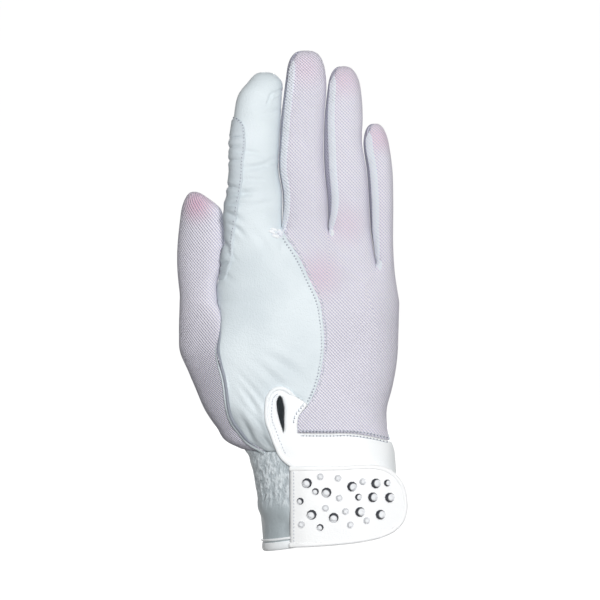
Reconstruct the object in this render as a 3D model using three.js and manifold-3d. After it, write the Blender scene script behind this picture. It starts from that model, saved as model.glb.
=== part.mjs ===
// A right-hand riding glove as it is worn: leather palm, knitted mesh back, gathered cuff, and a
// wrist tab set with cut stones. Millimetres. The fingers point up (+Z), the back of the hand
// faces -Y, the thumb lies towards -X, and the origin is the middle of the wrist opening.
import * as THREE from 'three';
import Module from 'manifold-3d';
import { mergeVertices } from 'three/addons/utils/BufferGeometryUtils.js';

const wasm = await Module();
wasm.setup();

// Lengths from the wrist opening upwards
const CUFF_HEIGHT = 40;
const THUMB_CROTCH = 106;
const LITTLE_CROTCH = 124;
const CROTCH_HEIGHT = 139;
const INDEX_TIP = 209.5;
const MIDDLE_TIP = 219.5;
const RING_TIP = 212.5;
const LITTLE_TIP = 186.5;
const THUMB_TIP = 156;

// Widths and depths of the hand and the wrist
const HAND_WIDTH = 74;
const HAND_DEPTH = 27;
const WRIST_WIDTH = 62;
const WRIST_DEPTH = 41;
const FINGER_DEPTH = 17;
const FINGER_GAP = 0.8;
const GAP_OPENS = 7;
const TIP_ROUND = 11;

// How the hand is held: turned a little, the fingers curled, the thumb towards the palm
const HAND_TURN = 0.12;
const FINGER_CURL = 8;
const THUMB_TURN = 0.62;
const THUMB_LIFT = 8;
const WEB_DROP = 9;
const THUMB_WEB_DROP = 46;

// Cloth, leather and the clearance between pieces
const WALL = 1.2;
const CLEAR = 0.3;
const SMOOTHING = 0.15;
const SEAM_BEHIND = 3;
const GUSSET_WIDTH = 2.8;
const GUSSET_POINT = 6;
const GUSSET_END = 2;
const OVERSHOOT = 4;
const BINDING_PROUD = 0.4;
const SLIT_BINDING_WIDTH = 1.8;
const SLIT_LENGTH = 16.6;
const SLIT_WIDTH = 2.9;
const HEM_HEIGHT = 3.8;
const HEM_SLOPE = 0.16;
const GATHER_DEPTH = 0.6;
const GATHER_PITCH = 3.6;
const GATHER_FADE = 4;

// The wrist tab and its stones
const TAB_LEFT = -18;
const TAB_BOTTOM = -2;
const TAB_LENGTH = 53;
const TAB_HEIGHT = 36;
const TAB_WALL = 1.6;
const TAB_BINDING_WIDTH = 2.2;
const TAB_BINDING_PROUD = 0.4;
const TAB_STRAIGHT_LENGTH = 31;
const TAB_END_OVER = 10;
const PAD_FROM_END = 15.5;
const PAD_WIDTH = 7;
const PAD_HEIGHT = 14;
const LARGE_STONE = 4.4;
const SMALL_STONE = 3.1;
const STONE_HEIGHT_SHARE = 0.42;
const STONE_SIDES = 8;

// Sections of the cuff: shares of CUFF_HEIGHT, WRIST_WIDTH and WRIST_DEPTH
const CUFF_SECTIONS = [
  { up: -0.30, left: -0.473, right: 0.476, depth: 0.500 },
  { up: 0.00, left: -0.476, right: 0.480, depth: 0.500 },
  { up: 0.24, left: -0.490, right: 0.480, depth: 0.497 },
  { up: 0.60, left: -0.529, right: 0.480, depth: 0.490 },
  { up: 0.84, left: -0.562, right: 0.475, depth: 0.482 },
];
// Sections of the hand with the thumb's base: shares of THUMB_CROTCH, HAND_WIDTH and HAND_DEPTH
const HAND_SECTIONS = [
  { up: 0.380, left: -0.510, right: 0.385, depth: 0.705 },
  { up: 0.409, left: -0.595, right: 0.380, depth: 0.690 },
  { up: 0.472, left: -0.665, right: 0.352, depth: 0.665 },
  { up: 0.537, left: -0.728, right: 0.343, depth: 0.645 },
  { up: 0.642, left: -0.795, right: 0.378, depth: 0.615 },
  { up: 0.708, left: -0.835, right: 0.397, depth: 0.595 },
  { up: 0.799, left: -0.888, right: 0.412, depth: 0.570 },
  { up: 0.865, left: -0.892, right: 0.415, depth: 0.555 },
  { up: 1.000, left: -0.888, right: 0.421, depth: 0.530 },
];
// Sections of the hand above the thumb: shares of the height from THUMB_CROTCH to CROTCH_HEIGHT,
// of HAND_WIDTH and of HAND_DEPTH
const PALM_SECTIONS = [
  { up: -1.400, left: -0.588, right: 0.350, depth: 0.600 },
  { up: 0.000, left: -0.660, right: 0.421, depth: 0.525 },
  { up: 0.240, left: -0.662, right: 0.404, depth: 0.495 },
  { up: 0.370, left: -0.643, right: 0.396, depth: 0.475 },
  { up: 0.580, left: -0.634, right: 0.388, depth: 0.440 },
  { up: 0.830, left: -0.616, right: 0.384, depth: 0.395 },
  { up: 1.000, left: -0.614, right: 0.384, depth: 0.365 },
];
// The seam between the thumb and the hand: shares of THUMB_CROTCH and HAND_WIDTH
const THUMB_SEAM = [
  { up: 0.398, across: -0.526 },
  { up: 0.482, across: -0.565 },
  { up: 0.553, across: -0.588 },
  { up: 0.684, across: -0.614 },
  { up: 0.738, across: -0.634 },
  { up: 0.797, across: -0.650 },
  { up: 0.869, across: -0.640 },
  { up: 0.963, across: -0.642 },
  { up: 1.000, across: -0.660 },
];
// The fingers' outlines: shares of the finger's own length above the crotch, and of HAND_WIDTH;
// depth is a share of FINGER_DEPTH
const FINGERS = [
  { name: 'index', tip: INDEX_TIP, depth: 1.0, rows: [
    { along: 0.00, left: -0.614, right: -0.277 },
    { along: 0.10, left: -0.620, right: -0.275 },
    { along: 0.23, left: -0.597, right: -0.275 },
    { along: 0.37, left: -0.586, right: -0.297 },
    { along: 0.55, left: -0.584, right: -0.292 },
    { along: 0.71, left: -0.565, right: -0.283 },
    { along: 0.86, left: -0.545, right: -0.277 },
    { along: 1.00, left: -0.530, right: -0.268 },
  ] },
  { name: 'middle', tip: MIDDLE_TIP, depth: 1.0, rows: [
    { along: 0.00, left: -0.277, right: -0.003 },
    { along: 0.20, left: -0.275, right: -0.010 },
    { along: 0.33, left: -0.297, right: -0.026 },
    { along: 0.50, left: -0.292, right: -0.030 },
    { along: 0.63, left: -0.283, right: -0.025 },
    { along: 0.80, left: -0.262, right: -0.012 },
    { along: 1.00, left: -0.235, right: -0.035 },
  ] },
  { name: 'ring', tip: RING_TIP, depth: 0.96, rows: [
    { along: 0.00, left: -0.003, right: 0.248 },
    { along: 0.20, left: -0.010, right: 0.239 },
    { along: 0.36, left: -0.026, right: 0.226 },
    { along: 0.54, left: -0.030, right: 0.200 },
    { along: 0.69, left: -0.025, right: 0.205 },
    { along: 0.88, left: -0.005, right: 0.190 },
    { along: 1.00, left: 0.010, right: 0.165 },
  ] },
  { name: 'little', tip: LITTLE_TIP, depth: 0.86, rows: [
    { along: 0.00, left: 0.248, right: 0.384 },
    { along: 0.28, left: 0.239, right: 0.385 },
    { along: 0.56, left: 0.226, right: 0.380 },
    { along: 0.80, left: 0.206, right: 0.360 },
    { along: 1.00, left: 0.212, right: 0.335 },
  ] },
];
const THUMB = { name: 'thumb', tip: THUMB_TIP, depth: 1.08, rows: [
  { along: 0.00, left: -0.888, right: -0.660 },
  { along: 0.06, left: -0.887, right: -0.672 },
  { along: 0.16, left: -0.894, right: -0.674 },
  { along: 0.29, left: -0.903, right: -0.656 },
  { along: 0.49, left: -0.905, right: -0.644 },
  { along: 0.72, left: -0.892, right: -0.640 },
  { along: 0.86, left: -0.880, right: -0.642 },
  { along: 1.00, left: -0.862, right: -0.680 },
] };
// Dents where the leather folds: shares of CROTCH_HEIGHT and HAND_WIDTH, depth of FINGER_DEPTH
const FOLDS = [
  { up: 1.228, across: -0.575, tall: 0.012, wide: 0.060, depth: 0.070 },
  { up: 1.145, across: -0.500, tall: 0.014, wide: 0.090, depth: 0.040 },
  { up: 1.000, across: -0.600, tall: 0.018, wide: 0.050, depth: 0.060 },
  { up: 0.905, across: -0.610, tall: 0.018, wide: 0.050, depth: 0.060 },
  { up: 0.470, across: -0.390, tall: 0.060, wide: 0.020, depth: 0.060 },
  { up: 0.480, across: -0.200, tall: 0.018, wide: 0.070, depth: 0.050 },
];
// The seam from the index finger's crotch round to the slit, then along the mesh's lower edge:
// shares of CROTCH_HEIGHT and HAND_WIDTH
const BACK_SEAM = [
  { up: 0.968, across: -0.247 },
  { up: 0.914, across: -0.182 },
  { up: 0.835, across: -0.111 },
  { up: 0.770, across: -0.057 },
  { up: 0.707, across: -0.036 },
  { up: 0.635, across: -0.027 },
  { up: 0.579, across: -0.036 },
  { up: 0.521, across: -0.057 },
  { up: 0.470, across: -0.091 },
  { up: 0.435, across: -0.127 },
  { up: 0.401, across: -0.176 },
  { up: 0.348, across: -0.185 },
];
const MESH_HEM = [
  { up: 0.347, across: 0.000 },
  { up: 0.347, across: 0.120 },
  { up: 0.337, across: 0.243 },
  { up: 0.322, across: 0.354 },
  { up: 0.313, across: 0.440 },
];
// The yoke's bound edge, from the tab up round the slit, in the same shares
const YOKE_EDGE = [
  { up: 0.243, across: -0.228 },
  { up: 0.258, across: -0.266 },
  { up: 0.311, across: -0.327 },
  { up: 0.393, across: -0.381 },
  { up: 0.468, across: -0.375 },
  { up: 0.493, across: -0.340 },
  { up: 0.500, across: -0.290 },
  { up: 0.478, across: -0.225 },
  { up: 0.441, across: -0.135 },
];
const YOKE_BOUND_POINTS = 15;
const SLIT_TOP = { up: 0.467, across: -0.290 };
// The reinforcement on the outer side of the index finger, in the same shares
const PATCH_EDGE = [
  { up: 1.358, across: -0.565 },
  { up: 1.355, across: -0.533 },
  { up: 1.335, across: -0.501 },
  { up: 1.270, across: -0.490 },
  { up: 1.215, across: -0.501 },
  { up: 1.150, across: -0.508 },
  { up: 1.075, across: -0.530 },
  { up: 0.965, across: -0.559 },
  { up: 0.900, across: -0.570 },
  { up: 0.820, across: -0.622 },
];
// The tab's outline and its stones: shares of TAB_LENGTH and TAB_HEIGHT
const TAB_EDGE = [
  { along: 0.00, up: 0.99 },
  { along: 0.43, up: 1.00 },
  { along: 0.64, up: 1.02 },
  { along: 0.77, up: 1.00 },
  { along: 0.86, up: 0.94 },
  { along: 0.94, up: 0.83 },
  { along: 0.99, up: 0.68 },
  { along: 1.00, up: 0.52 },
  { along: 0.98, up: 0.34 },
  { along: 0.91, up: 0.20 },
  { along: 0.81, up: 0.13 },
  { along: 0.60, up: 0.06 },
  { along: 0.35, up: 0.02 },
  { along: 0.00, up: -0.01 },
];
const STONES = [
  { along: 0.155, up: 0.790, size: LARGE_STONE },
  { along: 0.317, up: 0.675, size: LARGE_STONE },
  { along: 0.194, up: 0.403, size: LARGE_STONE },
  { along: 0.377, up: 0.367, size: LARGE_STONE },
  { along: 0.530, up: 0.747, size: LARGE_STONE },
  { along: 0.596, up: 0.436, size: LARGE_STONE },
  { along: 0.702, up: 0.614, size: LARGE_STONE },
  { along: 0.728, up: 0.783, size: LARGE_STONE },
  { along: 0.843, up: 0.608, size: LARGE_STONE },
  { along: 0.766, up: 0.400, size: LARGE_STONE },
  { along: 0.266, up: 0.867, size: SMALL_STONE },
  { along: 0.225, up: 0.686, size: SMALL_STONE },
  { along: 0.413, up: 0.850, size: SMALL_STONE },
  { along: 0.423, up: 0.608, size: SMALL_STONE },
  { along: 0.100, up: 0.567, size: SMALL_STONE },
  { along: 0.109, up: 0.281, size: SMALL_STONE },
  { along: 0.309, up: 0.483, size: SMALL_STONE },
  { along: 0.264, up: 0.247, size: SMALL_STONE },
  { along: 0.475, up: 0.442, size: SMALL_STONE },
  { along: 0.619, up: 0.806, size: SMALL_STONE },
  { along: 0.583, up: 0.617, size: SMALL_STONE },
  { along: 0.515, up: 0.278, size: SMALL_STONE },
  { along: 0.651, up: 0.328, size: SMALL_STONE },
  { along: 0.823, up: 0.786, size: SMALL_STONE },
];

const WHITE_LEATHER = { color: 0xe9f0f3, roughness: 0.5, metalness: 0 };
const SHADED_LEATHER = { color: 0xdde3e7, roughness: 0.55, metalness: 0 };
const LILAC_MESH = { color: 0xdcd6e4, roughness: 0.85, metalness: 0 };
const PALE_TAB = { color: 0xf4f7f8, roughness: 0.4, metalness: 0 };
const HOOK_PAD = { color: 0xd9dcdf, roughness: 0.9, metalness: 0 };
const CRYSTAL = { color: 0xc9ccd2, roughness: 0.08, metalness: 0.6 };

const lerp = (from, to, share) => from + (to - from) * share;
const spread = (from, to, steps) => Array.from({ length: steps + 1 }, (_, i) => (
  lerp(from, to, i / steps)));
const clamp = (value) => Math.min(1, Math.max(0, value));
const ease = (value) => clamp(value) ** 2 * (3 - 2 * clamp(value));

// The value of one column of a table at a place along it, straight between its rows
function read(rows, key, column, place) {
  let next = rows.findIndex((row) => row[key] > place);
  if (next < 0) next = rows.length - 1;
  next = Math.max(1, next);
  const low = rows[next - 1];
  const high = rows[next];
  return lerp(low[column], high[column], clamp((place - low[key]) / (high[key] - low[key])));
}

// Real heights and half sizes of a table's rows, so that tables with other units can be joined
function measured(rows, base, tall, wide, deep) {
  return rows.map((row) => ({
    z: base + row.up * tall,
    left: row.left * wide,
    right: row.right * wide,
    depth: row.depth * deep,
  }));
}
const WHOLE = [
  ...measured(CUFF_SECTIONS, 0, CUFF_HEIGHT, WRIST_WIDTH, WRIST_DEPTH),
  ...measured(HAND_SECTIONS, 0, THUMB_CROTCH, HAND_WIDTH, HAND_DEPTH),
];
const PALM = measured(
  PALM_SECTIONS, THUMB_CROTCH, CROTCH_HEIGHT - THUMB_CROTCH, HAND_WIDTH, HAND_DEPTH,
);

// A rounded section: 1 in the middle, 0 at both edges; the wrist is squarer than the hand
const ROUNDNESS = 2.4;
const WRIST_ROUNDNESS = 3;
const dome = (u, round = ROUNDNESS) => Math.max(0, 1 - Math.abs(u) ** round) ** (1 / round);
const arch = (share) => 1 - Math.sqrt(1 - clamp(share) ** 2);
const across = (x, left, right) => (right > left ? (2 * x - left - right) / (right - left) : 0);

const thumbSeamX = (z) => read(THUMB_SEAM, 'up', 'across', z / THUMB_CROTCH) * HAND_WIDTH;

// A finger's left edge, right edge and half depth at a height, its end rounded off
function fingerAt(finger, base, z) {
  const along = (z - base) / (finger.tip - base);
  const left = read(finger.rows, 'along', 'left', along) * HAND_WIDTH;
  const right = read(finger.rows, 'along', 'right', along) * HAND_WIDTH;
  const cap = z > finger.tip - TIP_ROUND ? dome((z - finger.tip + TIP_ROUND) / TIP_ROUND) : 1;
  const slim = 1 - 0.14 * clamp(along);
  const middle = (left + right) / 2;
  const half = ((right - left) / 2) * cap;
  return {
    left: middle - half,
    right: middle + half,
    depth: (finger.depth * FINGER_DEPTH / 2) * slim * cap,
  };
}

// The five columns of the skin, thumb to little finger: each runs from the cuff up to its tip.
// Below the crotches neighbours share an edge; above them a small gap opens.
const PALM_SHARES = [0, 0.29, 0.55, 0.79, 1];
const CROTCHES = [CROTCH_HEIGHT, CROTCH_HEIGHT, CROTCH_HEIGHT, LITTLE_CROTCH, LITTLE_CROTCH];

function palmEdge(number, z) {
  const left = z < THUMB_CROTCH ? thumbEdge(z) : read(PALM, 'z', 'left', z);
  const right = read(z < THUMB_CROTCH ? WHOLE : PALM, 'z', 'right', z);
  const even = lerp(left, right, PALM_SHARES[number]);
  if (number === 0 || number === 4) return even;
  const rows = FINGERS[number].rows;
  const atCrotch = rows[0].left * HAND_WIDTH;
  const lean = clamp((CROTCH_HEIGHT - z) / (CROTCH_HEIGHT - LITTLE_CROTCH));
  const shift = number === 3 ? 0.034 * HAND_WIDTH * lean : 0;
  return lerp(even, atCrotch + shift, ease((z - THUMB_CROTCH) / (LITTLE_CROTCH - THUMB_CROTCH)));
}

// The thumb column's right edge: the thumb seam, which runs on down the cuff
function thumbEdge(z) {
  const left = read(WHOLE, 'z', 'left', z);
  const right = read(WHOLE, 'z', 'right', z);
  const low = lerp(left, right, 0.15);
  return lerp(low, thumbSeamX(z), ease((z / THUMB_CROTCH - 0.40) / 0.16));
}

// Depth of the folds in the leather at a place on the back
function foldDepth(x, z) {
  const up = z / CROTCH_HEIGHT;
  const side = x / HAND_WIDTH;
  const dents = FOLDS.map((fold) => fold.depth * Math.exp(
    -(((up - fold.up) / fold.tall) ** 2) - (((side - fold.across) / fold.wide) ** 2)));
  return FINGER_DEPTH * dents.reduce((sum, dent) => sum + dent, 0);
}

// The gathers in the thumb side of the cuff
function gatherDepth(x, z) {
  const beside = ease((TAB_LEFT - x) / GATHER_FADE) * ease((x + 0.56 * WRIST_WIDTH) / GATHER_FADE);
  const between = ease((z - 0.36 * CUFF_HEIGHT) / GATHER_FADE)
    * ease((0.96 * CUFF_HEIGHT - z) / GATHER_FADE);
  const wave = Math.cos((2 * Math.PI * (x - 0.28 * z)) / GATHER_PITCH);
  return GATHER_DEPTH * wave * beside * between;
}

const handMiddle = (x, z) => HAND_TURN * (x + 0.11 * HAND_WIDTH)
  * ease((z - CUFF_HEIGHT) / (0.43 * CROTCH_HEIGHT))
  + FINGER_CURL * clamp((z - CROTCH_HEIGHT) / (MIDDLE_TIP - CROTCH_HEIGHT)) ** 2;

const thumbRight = (z) => (z < THUMB_CROTCH ? thumbEdge(z) : fingerAt(THUMB, THUMB_CROTCH, z).right);

const thumbMiddle = (x, z) => {
  const inner = z < THUMB_CROTCH ? thumbEdge(z) : THUMB.rows[4].right * HAND_WIDTH;
  return handMiddle(inner, Math.min(z, CROTCH_HEIGHT))
    + THUMB_TURN * (inner - x) * ease((z - CUFF_HEIGHT) / (0.36 * CROTCH_HEIGHT))
    + THUMB_LIFT * ease((z - THUMB_CROTCH) / (0.75 * (THUMB_TIP - THUMB_CROTCH)));
};

const whole = (z) => ({
  left: read(WHOLE, 'z', 'left', z),
  right: read(WHOLE, 'z', 'right', z),
  depth: read(WHOLE, 'z', 'depth', z),
  round: lerp(WRIST_ROUNDNESS, ROUNDNESS, ease((z - CUFF_HEIGHT) / (0.2 * CROTCH_HEIGHT))),
});

// Half thickness of the glove at a place in one column; columns: 0 thumb, 1 index ... 4 little
function halfThickness(column, x, z) {
  const body = whole(Math.min(z, THUMB_CROTCH));
  const bodyDepth = body.depth * dome(across(x, body.left, body.right), body.round);
  const thumbWeb = arch((z - THUMB_CROTCH + THUMB_WEB_DROP) / THUMB_WEB_DROP);
  if (column === 0) {
    const high = fingerAt(THUMB, THUMB_CROTCH, Math.max(z, THUMB_CROTCH));
    const left = z < THUMB_CROTCH ? body.left : high.left;
    const right = z < THUMB_CROTCH ? thumbEdge(z) : high.right;
    const thumb = high.depth * dome(across(x, left, right));
    return z < THUMB_CROTCH ? lerp(bodyDepth, thumb, thumbWeb) : thumb;
  }
  const left = palmEdge(0, Math.min(z, CROTCH_HEIGHT));
  const right = palmEdge(4, Math.min(z, CROTCH_HEIGHT));
  const palmDepth = read(PALM, 'z', 'depth', z) * dome(across(x, left, right));
  const hand = z < THUMB_CROTCH ? lerp(bodyDepth, palmDepth, thumbWeb) : palmDepth;
  const [low, high] = columnEdges(column, z);
  const side = clamp((1 + across(x, low, high)) / 2);
  const crotch = lerp(CROTCHES[column - 1], CROTCHES[column], side);
  const web = arch((z - crotch + WEB_DROP) / WEB_DROP);
  const finger = FINGERS[column - 1];
  const depth = fingerAt(finger, CROTCH_HEIGHT, Math.max(z, CROTCH_HEIGHT)).depth;
  return lerp(hand, depth * dome(across(x, low, high)), z > crotch ? 1 : web);
}

// The left and right edge of a column at a height
function columnEdges(column, z) {
  if (column === 0) {
    const thumb = fingerAt(THUMB, THUMB_CROTCH, z);
    return z < THUMB_CROTCH ? [whole(z).left, thumbEdge(z)] : [thumb.left, thumb.right];
  }
  const finger = FINGERS[column - 1];
  const opened = (crotch) => (FINGER_GAP / 2) * ease((z - crotch) / GAP_OPENS);
  const leftGap = column > 1 ? opened(CROTCHES[column - 1]) : 0;
  const rightGap = column < 4 ? opened(CROTCHES[column]) : 0;
  if (z <= CROTCH_HEIGHT) {
    return [palmEdge(column - 1, z) + leftGap, palmEdge(column, z) - rightGap];
  }
  const edges = fingerAt(finger, CROTCH_HEIGHT, z);
  const cap = z > finger.tip - TIP_ROUND ? dome((z - finger.tip + TIP_ROUND) / TIP_ROUND) : 1;
  return [edges.left + leftGap * cap, edges.right - rightGap * cap];
}

// A point of the skin: back is 1 on the back of the hand and -1 on the palm
function skinPoint(column, back, x, z) {
  const middle = column === 0 ? thumbMiddle(x, z) : handMiddle(x, z);
  const half = halfThickness(column, x, z);
  const dent = back > 0 ? Math.min(foldDepth(x, z), 0.5 * half) : 0;
  return new THREE.Vector3(x, middle - back * (half - dent), z);
}

// The back of the glove below the thumb's crotch as a height over x and z
function backY(x, z) {
  const column = x < thumbEdge(z) ? 0 : 1;
  return skinPoint(column, 1, x, z).y;
}

// A closed skin of even thickness from columns of rows: outer faces, inner faces and lower rim
class Skin {
  constructor() {
    this.points = [];
    this.faces = [];
    this.keys = new Map();
  }

  add(point) {
    const key = [point.x, point.y, point.z].map((value) => Math.round(value * 1000)).join();
    if (!this.keys.has(key)) {
      this.keys.set(key, this.points.length);
      this.points.push(point);
    }
    return this.keys.get(key);
  }

  face(a, b, c) {
    if (a !== b && b !== c && c !== a) this.faces.push([a, b, c]);
  }

  // A sheet of rows of points; flip turns its outer side round
  sheet(rows, flip) {
    const ids = rows.map((row) => row.map((point) => this.add(point)));
    for (let row = 0; row + 1 < ids.length; row += 1) {
      for (let i = 0; i + 1 < ids[row].length; i += 1) {
        const corners = [ids[row][i], ids[row][i + 1], ids[row + 1][i + 1], ids[row + 1][i]];
        if (flip) corners.reverse();
        this.face(corners[0], corners[1], corners[2]);
        this.face(corners[0], corners[2], corners[3]);
      }
    }
  }

  normals() {
    const sums = this.points.map(() => new THREE.Vector3());
    for (const corners of this.faces) {
      const [a, b, c] = corners.map((id) => this.points[id]);
      const normal = new THREE.Vector3().subVectors(b, a)
        .cross(new THREE.Vector3().subVectors(c, a)).normalize();
      corners.forEach((id, place) => {
        const here = this.points[id];
        const next = this.points[corners[(place + 1) % 3]].clone().sub(here);
        const last = this.points[corners[(place + 2) % 3]].clone().sub(here);
        sums[id].addScaledVector(normal, next.angleTo(last));
      });
    }
    return sums.map((sum) => sum.normalize());
  }

  // The solid between this surface moved out by outer and moved in by inner
  solid(outer, inner) {
    const normals = this.normals();
    const count = this.points.length;
    const moved = (distance) => this.points.map((point, id) => (
      point.clone().addScaledVector(normals[id], distance)));
    const corners = [...moved(outer), ...moved(-inner)];
    const faces = [...this.faces, ...this.faces.map(([a, b, c]) => [a + count, c + count, b + count])];
    const uses = new Map();
    for (const [a, b, c] of this.faces) {
      for (const [from, to] of [[a, b], [b, c], [c, a]]) uses.set(`${from},${to}`, [from, to]);
    }
    for (const [from, to] of uses.values()) {
      if (!uses.has(`${to},${from}`)) {
        faces.push([to, from, from + count], [to, from + count, to + count]);
      }
    }
    return new wasm.Manifold(new wasm.Mesh({
      numProp: 3,
      vertProperties: new Float32Array(corners.flatMap((point) => [point.x, point.y, point.z])),
      triVerts: new Uint32Array(faces.flat()),
    }));
  }
}

// Rows of one side of a column, with more points near its rounded edges
function columnRows(column, back, heights, segments) {
  return heights.map((z) => {
    const [left, right] = columnEdges(column, z);
    return Array.from({ length: segments + 1 }, (_, i) => {
      const x = lerp(left, right, (1 - Math.cos((Math.PI * i) / segments)) / 2);
      return skinPoint(column, back, x, z);
    });
  });
}

const BACK_SEGMENTS = 5;
const PALM_SEGMENTS = 4;
const SHARED_ROWS = [0.413, 0.47, 0.55, 0.655, 0.77, 0.88, 0.957, 1];
const FINGER_ROWS = [0.07, 0.23, 0.42, 0.62, 0.82];
const TIP_ROWS = [0.10, 0.55, 0.86, 1];

function fingerHeights(base, tip) {
  const shaft = tip - TIP_ROUND;
  return [
    ...FINGER_ROWS.map((share) => lerp(base, shaft, share)),
    ...TIP_ROWS.map((share) => lerp(shaft, tip, share)),
  ];
}

function gloveSkin() {
  const skin = new Skin();
  const shared = [
    0.8 * CUFF_HEIGHT,
    CUFF_HEIGHT,
    ...SHARED_ROWS.map((share) => share * THUMB_CROTCH),
  ];
  const palmRows = [
    lerp(THUMB_CROTCH, LITTLE_CROTCH, 0.55),
    LITTLE_CROTCH,
    ...[0.45, 0.8, 1].map((share) => lerp(LITTLE_CROTCH, CROTCH_HEIGHT, share)),
  ];
  for (const back of [1, -1]) {
    const segments = back > 0 ? BACK_SEGMENTS : PALM_SEGMENTS;
    const thumb = [...shared, ...fingerHeights(THUMB_CROTCH, THUMB_TIP)];
    skin.sheet(columnRows(0, back, thumb, segments), back < 0);
    FINGERS.forEach((finger, number) => {
      const heights = [...shared, ...palmRows, ...fingerHeights(CROTCH_HEIGHT, finger.tip)];
      skin.sheet(columnRows(number + 1, back, heights, segments), back < 0);
    });
  }
  return skin;
}

// The cuff's tube; gathered on the thumb side of the back, where it is finer, or plain
const GATHERED_SHARE = 0.245;
const PLAIN_SHARES = [0, 0.01, 0.045, 0.13, 0.3, 0.5, 0.7, 0.87, 0.955, 0.99, 1];
const GATHERED_SHARES = [
  ...spread(0, 1, 14).map((share) => GATHERED_SHARE * share ** 1.15),
  0.36, 0.5, 0.66, 0.8, 0.9, 0.96, 0.99, 1,
];

function cuffSkin(heights, backShares, gathered) {
  const skin = new Skin();
  for (const back of [1, -1]) {
    const shares = back > 0 ? backShares : PLAIN_SHARES;
    const rows = heights.map((z) => {
      const { left, right, depth, round } = whole(z);
      return shares.map((share) => {
        const x = lerp(left, right, share);
        const half = depth * dome(across(x, left, right), round);
        const gather = back > 0 && gathered ? gatherDepth(x, z) * clamp((4 * half) / depth) : 0;
        return new THREE.Vector3(x, -back * (half + gather), z);
      });
    });
    skin.sheet(rows, back < 0);
  }
  return skin;
}

// A closed three.js geometry as a solid
function toSolid(geometry) {
  const bare = geometry.clone();
  bare.deleteAttribute('normal');
  bare.deleteAttribute('uv');
  const merged = mergeVertices(bare, 1e-4);
  return new wasm.Manifold(new wasm.Mesh({
    numProp: 3,
    vertProperties: new Float32Array(merged.attributes.position.array),
    triVerts: new Uint32Array(merged.index.array),
  }));
}

// The largest body of a cut solid, with its needless points taken out
function tidy(solid) {
  const bodies = solid.simplify(SMOOTHING).decompose();
  return bodies.reduce((best, body) => (body.volume() > best.volume() ? body : best));
}

function toMesh(name, solid, finish) {
  const { vertProperties, triVerts } = tidy(solid).getMesh();
  const geometry = new THREE.BufferGeometry();
  geometry.setAttribute('position', new THREE.BufferAttribute(vertProperties, 3));
  geometry.setIndex(new THREE.BufferAttribute(triVerts, 1));
  geometry.computeVertexNormals();
  const mesh = new THREE.Mesh(geometry, new THREE.MeshStandardMaterial(finish));
  mesh.name = name;
  return mesh;
}

// A prism through the whole glove over an outline of [x, z] points
const THROUGH = 160;
function prism(outline) {
  const shape = new THREE.Shape(outline.map(([x, z]) => new THREE.Vector2(x, z)));
  const geometry = new THREE.ExtrudeGeometry(shape, { depth: THROUGH, bevelEnabled: false });
  geometry.rotateX(Math.PI / 2);
  geometry.translate(0, THROUGH / 2, 0);
  return toSolid(geometry);
}

// An outline moved outwards by a distance, whichever way round it runs
function grow(outline, distance) {
  const turned = THREE.ShapeUtils.area(outline.map(([x, y]) => new THREE.Vector2(x, y))) < 0 ? -1 : 1;
  return outline.map(([x, z], i) => {
    const [lastX, lastZ] = outline[(i + outline.length - 1) % outline.length];
    const [nextX, nextZ] = outline[(i + 1) % outline.length];
    const before = new THREE.Vector2(z - lastZ, lastX - x).normalize();
    const after = new THREE.Vector2(nextZ - z, x - nextX).normalize();
    const out = before.clone().add(after).normalize();
    const stretch = Math.max(0.5, out.dot(after));
    return [x + (turned * distance * out.x) / stretch, z + (turned * distance * out.y) / stretch];
  });
}

// A smooth line through a table of rows in shares of a height and of the hand's width
function seamLine(rows, tall, steps) {
  const curve = new THREE.SplineCurve(rows.map((row) => (
    new THREE.Vector2(row.across * HAND_WIDTH, row.up * tall))));
  return curve.getPoints(steps).map((point) => [point.x, point.y]);
}

// The solid between two heights over x and z, front and rear, in a rectangle
function slab(xs, zs, front, rear) {
  const skin = new Skin();
  const layer = (height) => zs.map((z) => xs.map((x) => new THREE.Vector3(x, height(x, z), z)));
  const faces = [layer(front), layer(rear)];
  skin.sheet(faces[0], false);
  skin.sheet(faces[1], true);
  const last = zs.length - 1;
  const end = xs.length - 1;
  skin.sheet([faces[0][0], faces[1][0]], true);
  skin.sheet([faces[0][last], faces[1][last]], false);
  skin.sheet([faces[0].map((row) => row[0]), faces[1].map((row) => row[0])], false);
  skin.sheet([faces[0].map((row) => row[end]), faces[1].map((row) => row[end])], true);
  return new wasm.Manifold(new wasm.Mesh({
    numProp: 3,
    vertProperties: new Float32Array(skin.points.flatMap((point) => [point.x, point.y, point.z])),
    triVerts: new Uint32Array(skin.faces.flat()),
  }));
}

// Everything on the back of the hand, as far as the side seams
const REACH = { left: -1.1 * HAND_WIDTH, right: 0.7 * HAND_WIDTH, top: 1.05 * MIDDLE_TIP };
function backHalf(middle, behind) {
  return slab(
    spread(REACH.left, REACH.right, 18),
    spread(-CUFF_HEIGHT, REACH.top, 24),
    () => -THROUGH / 3,
    (x, z) => middle(x, z) + behind,
  );
}

// The line between the thumb and the hand, from the wrist up through the gap beside the index
function thumbLine() {
  const seam = seamLine(THUMB_SEAM, THUMB_CROTCH, 14)
    .filter(([, z]) => z > CUFF_HEIGHT + WALL);
  const above = spread(THUMB_CROTCH + GUSSET_END, THUMB_TIP + OVERSHOOT, 8).map((z) => {
    const hand = z < CROTCH_HEIGHT ? palmEdge(0, z) : columnEdges(1, z)[0];
    const thumb = fingerAt(THUMB, THUMB_CROTCH, Math.min(z, THUMB_TIP - TIP_ROUND)).right;
    return [(hand + thumb) / 2, z];
  });
  return [...seam, ...above];
}

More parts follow.
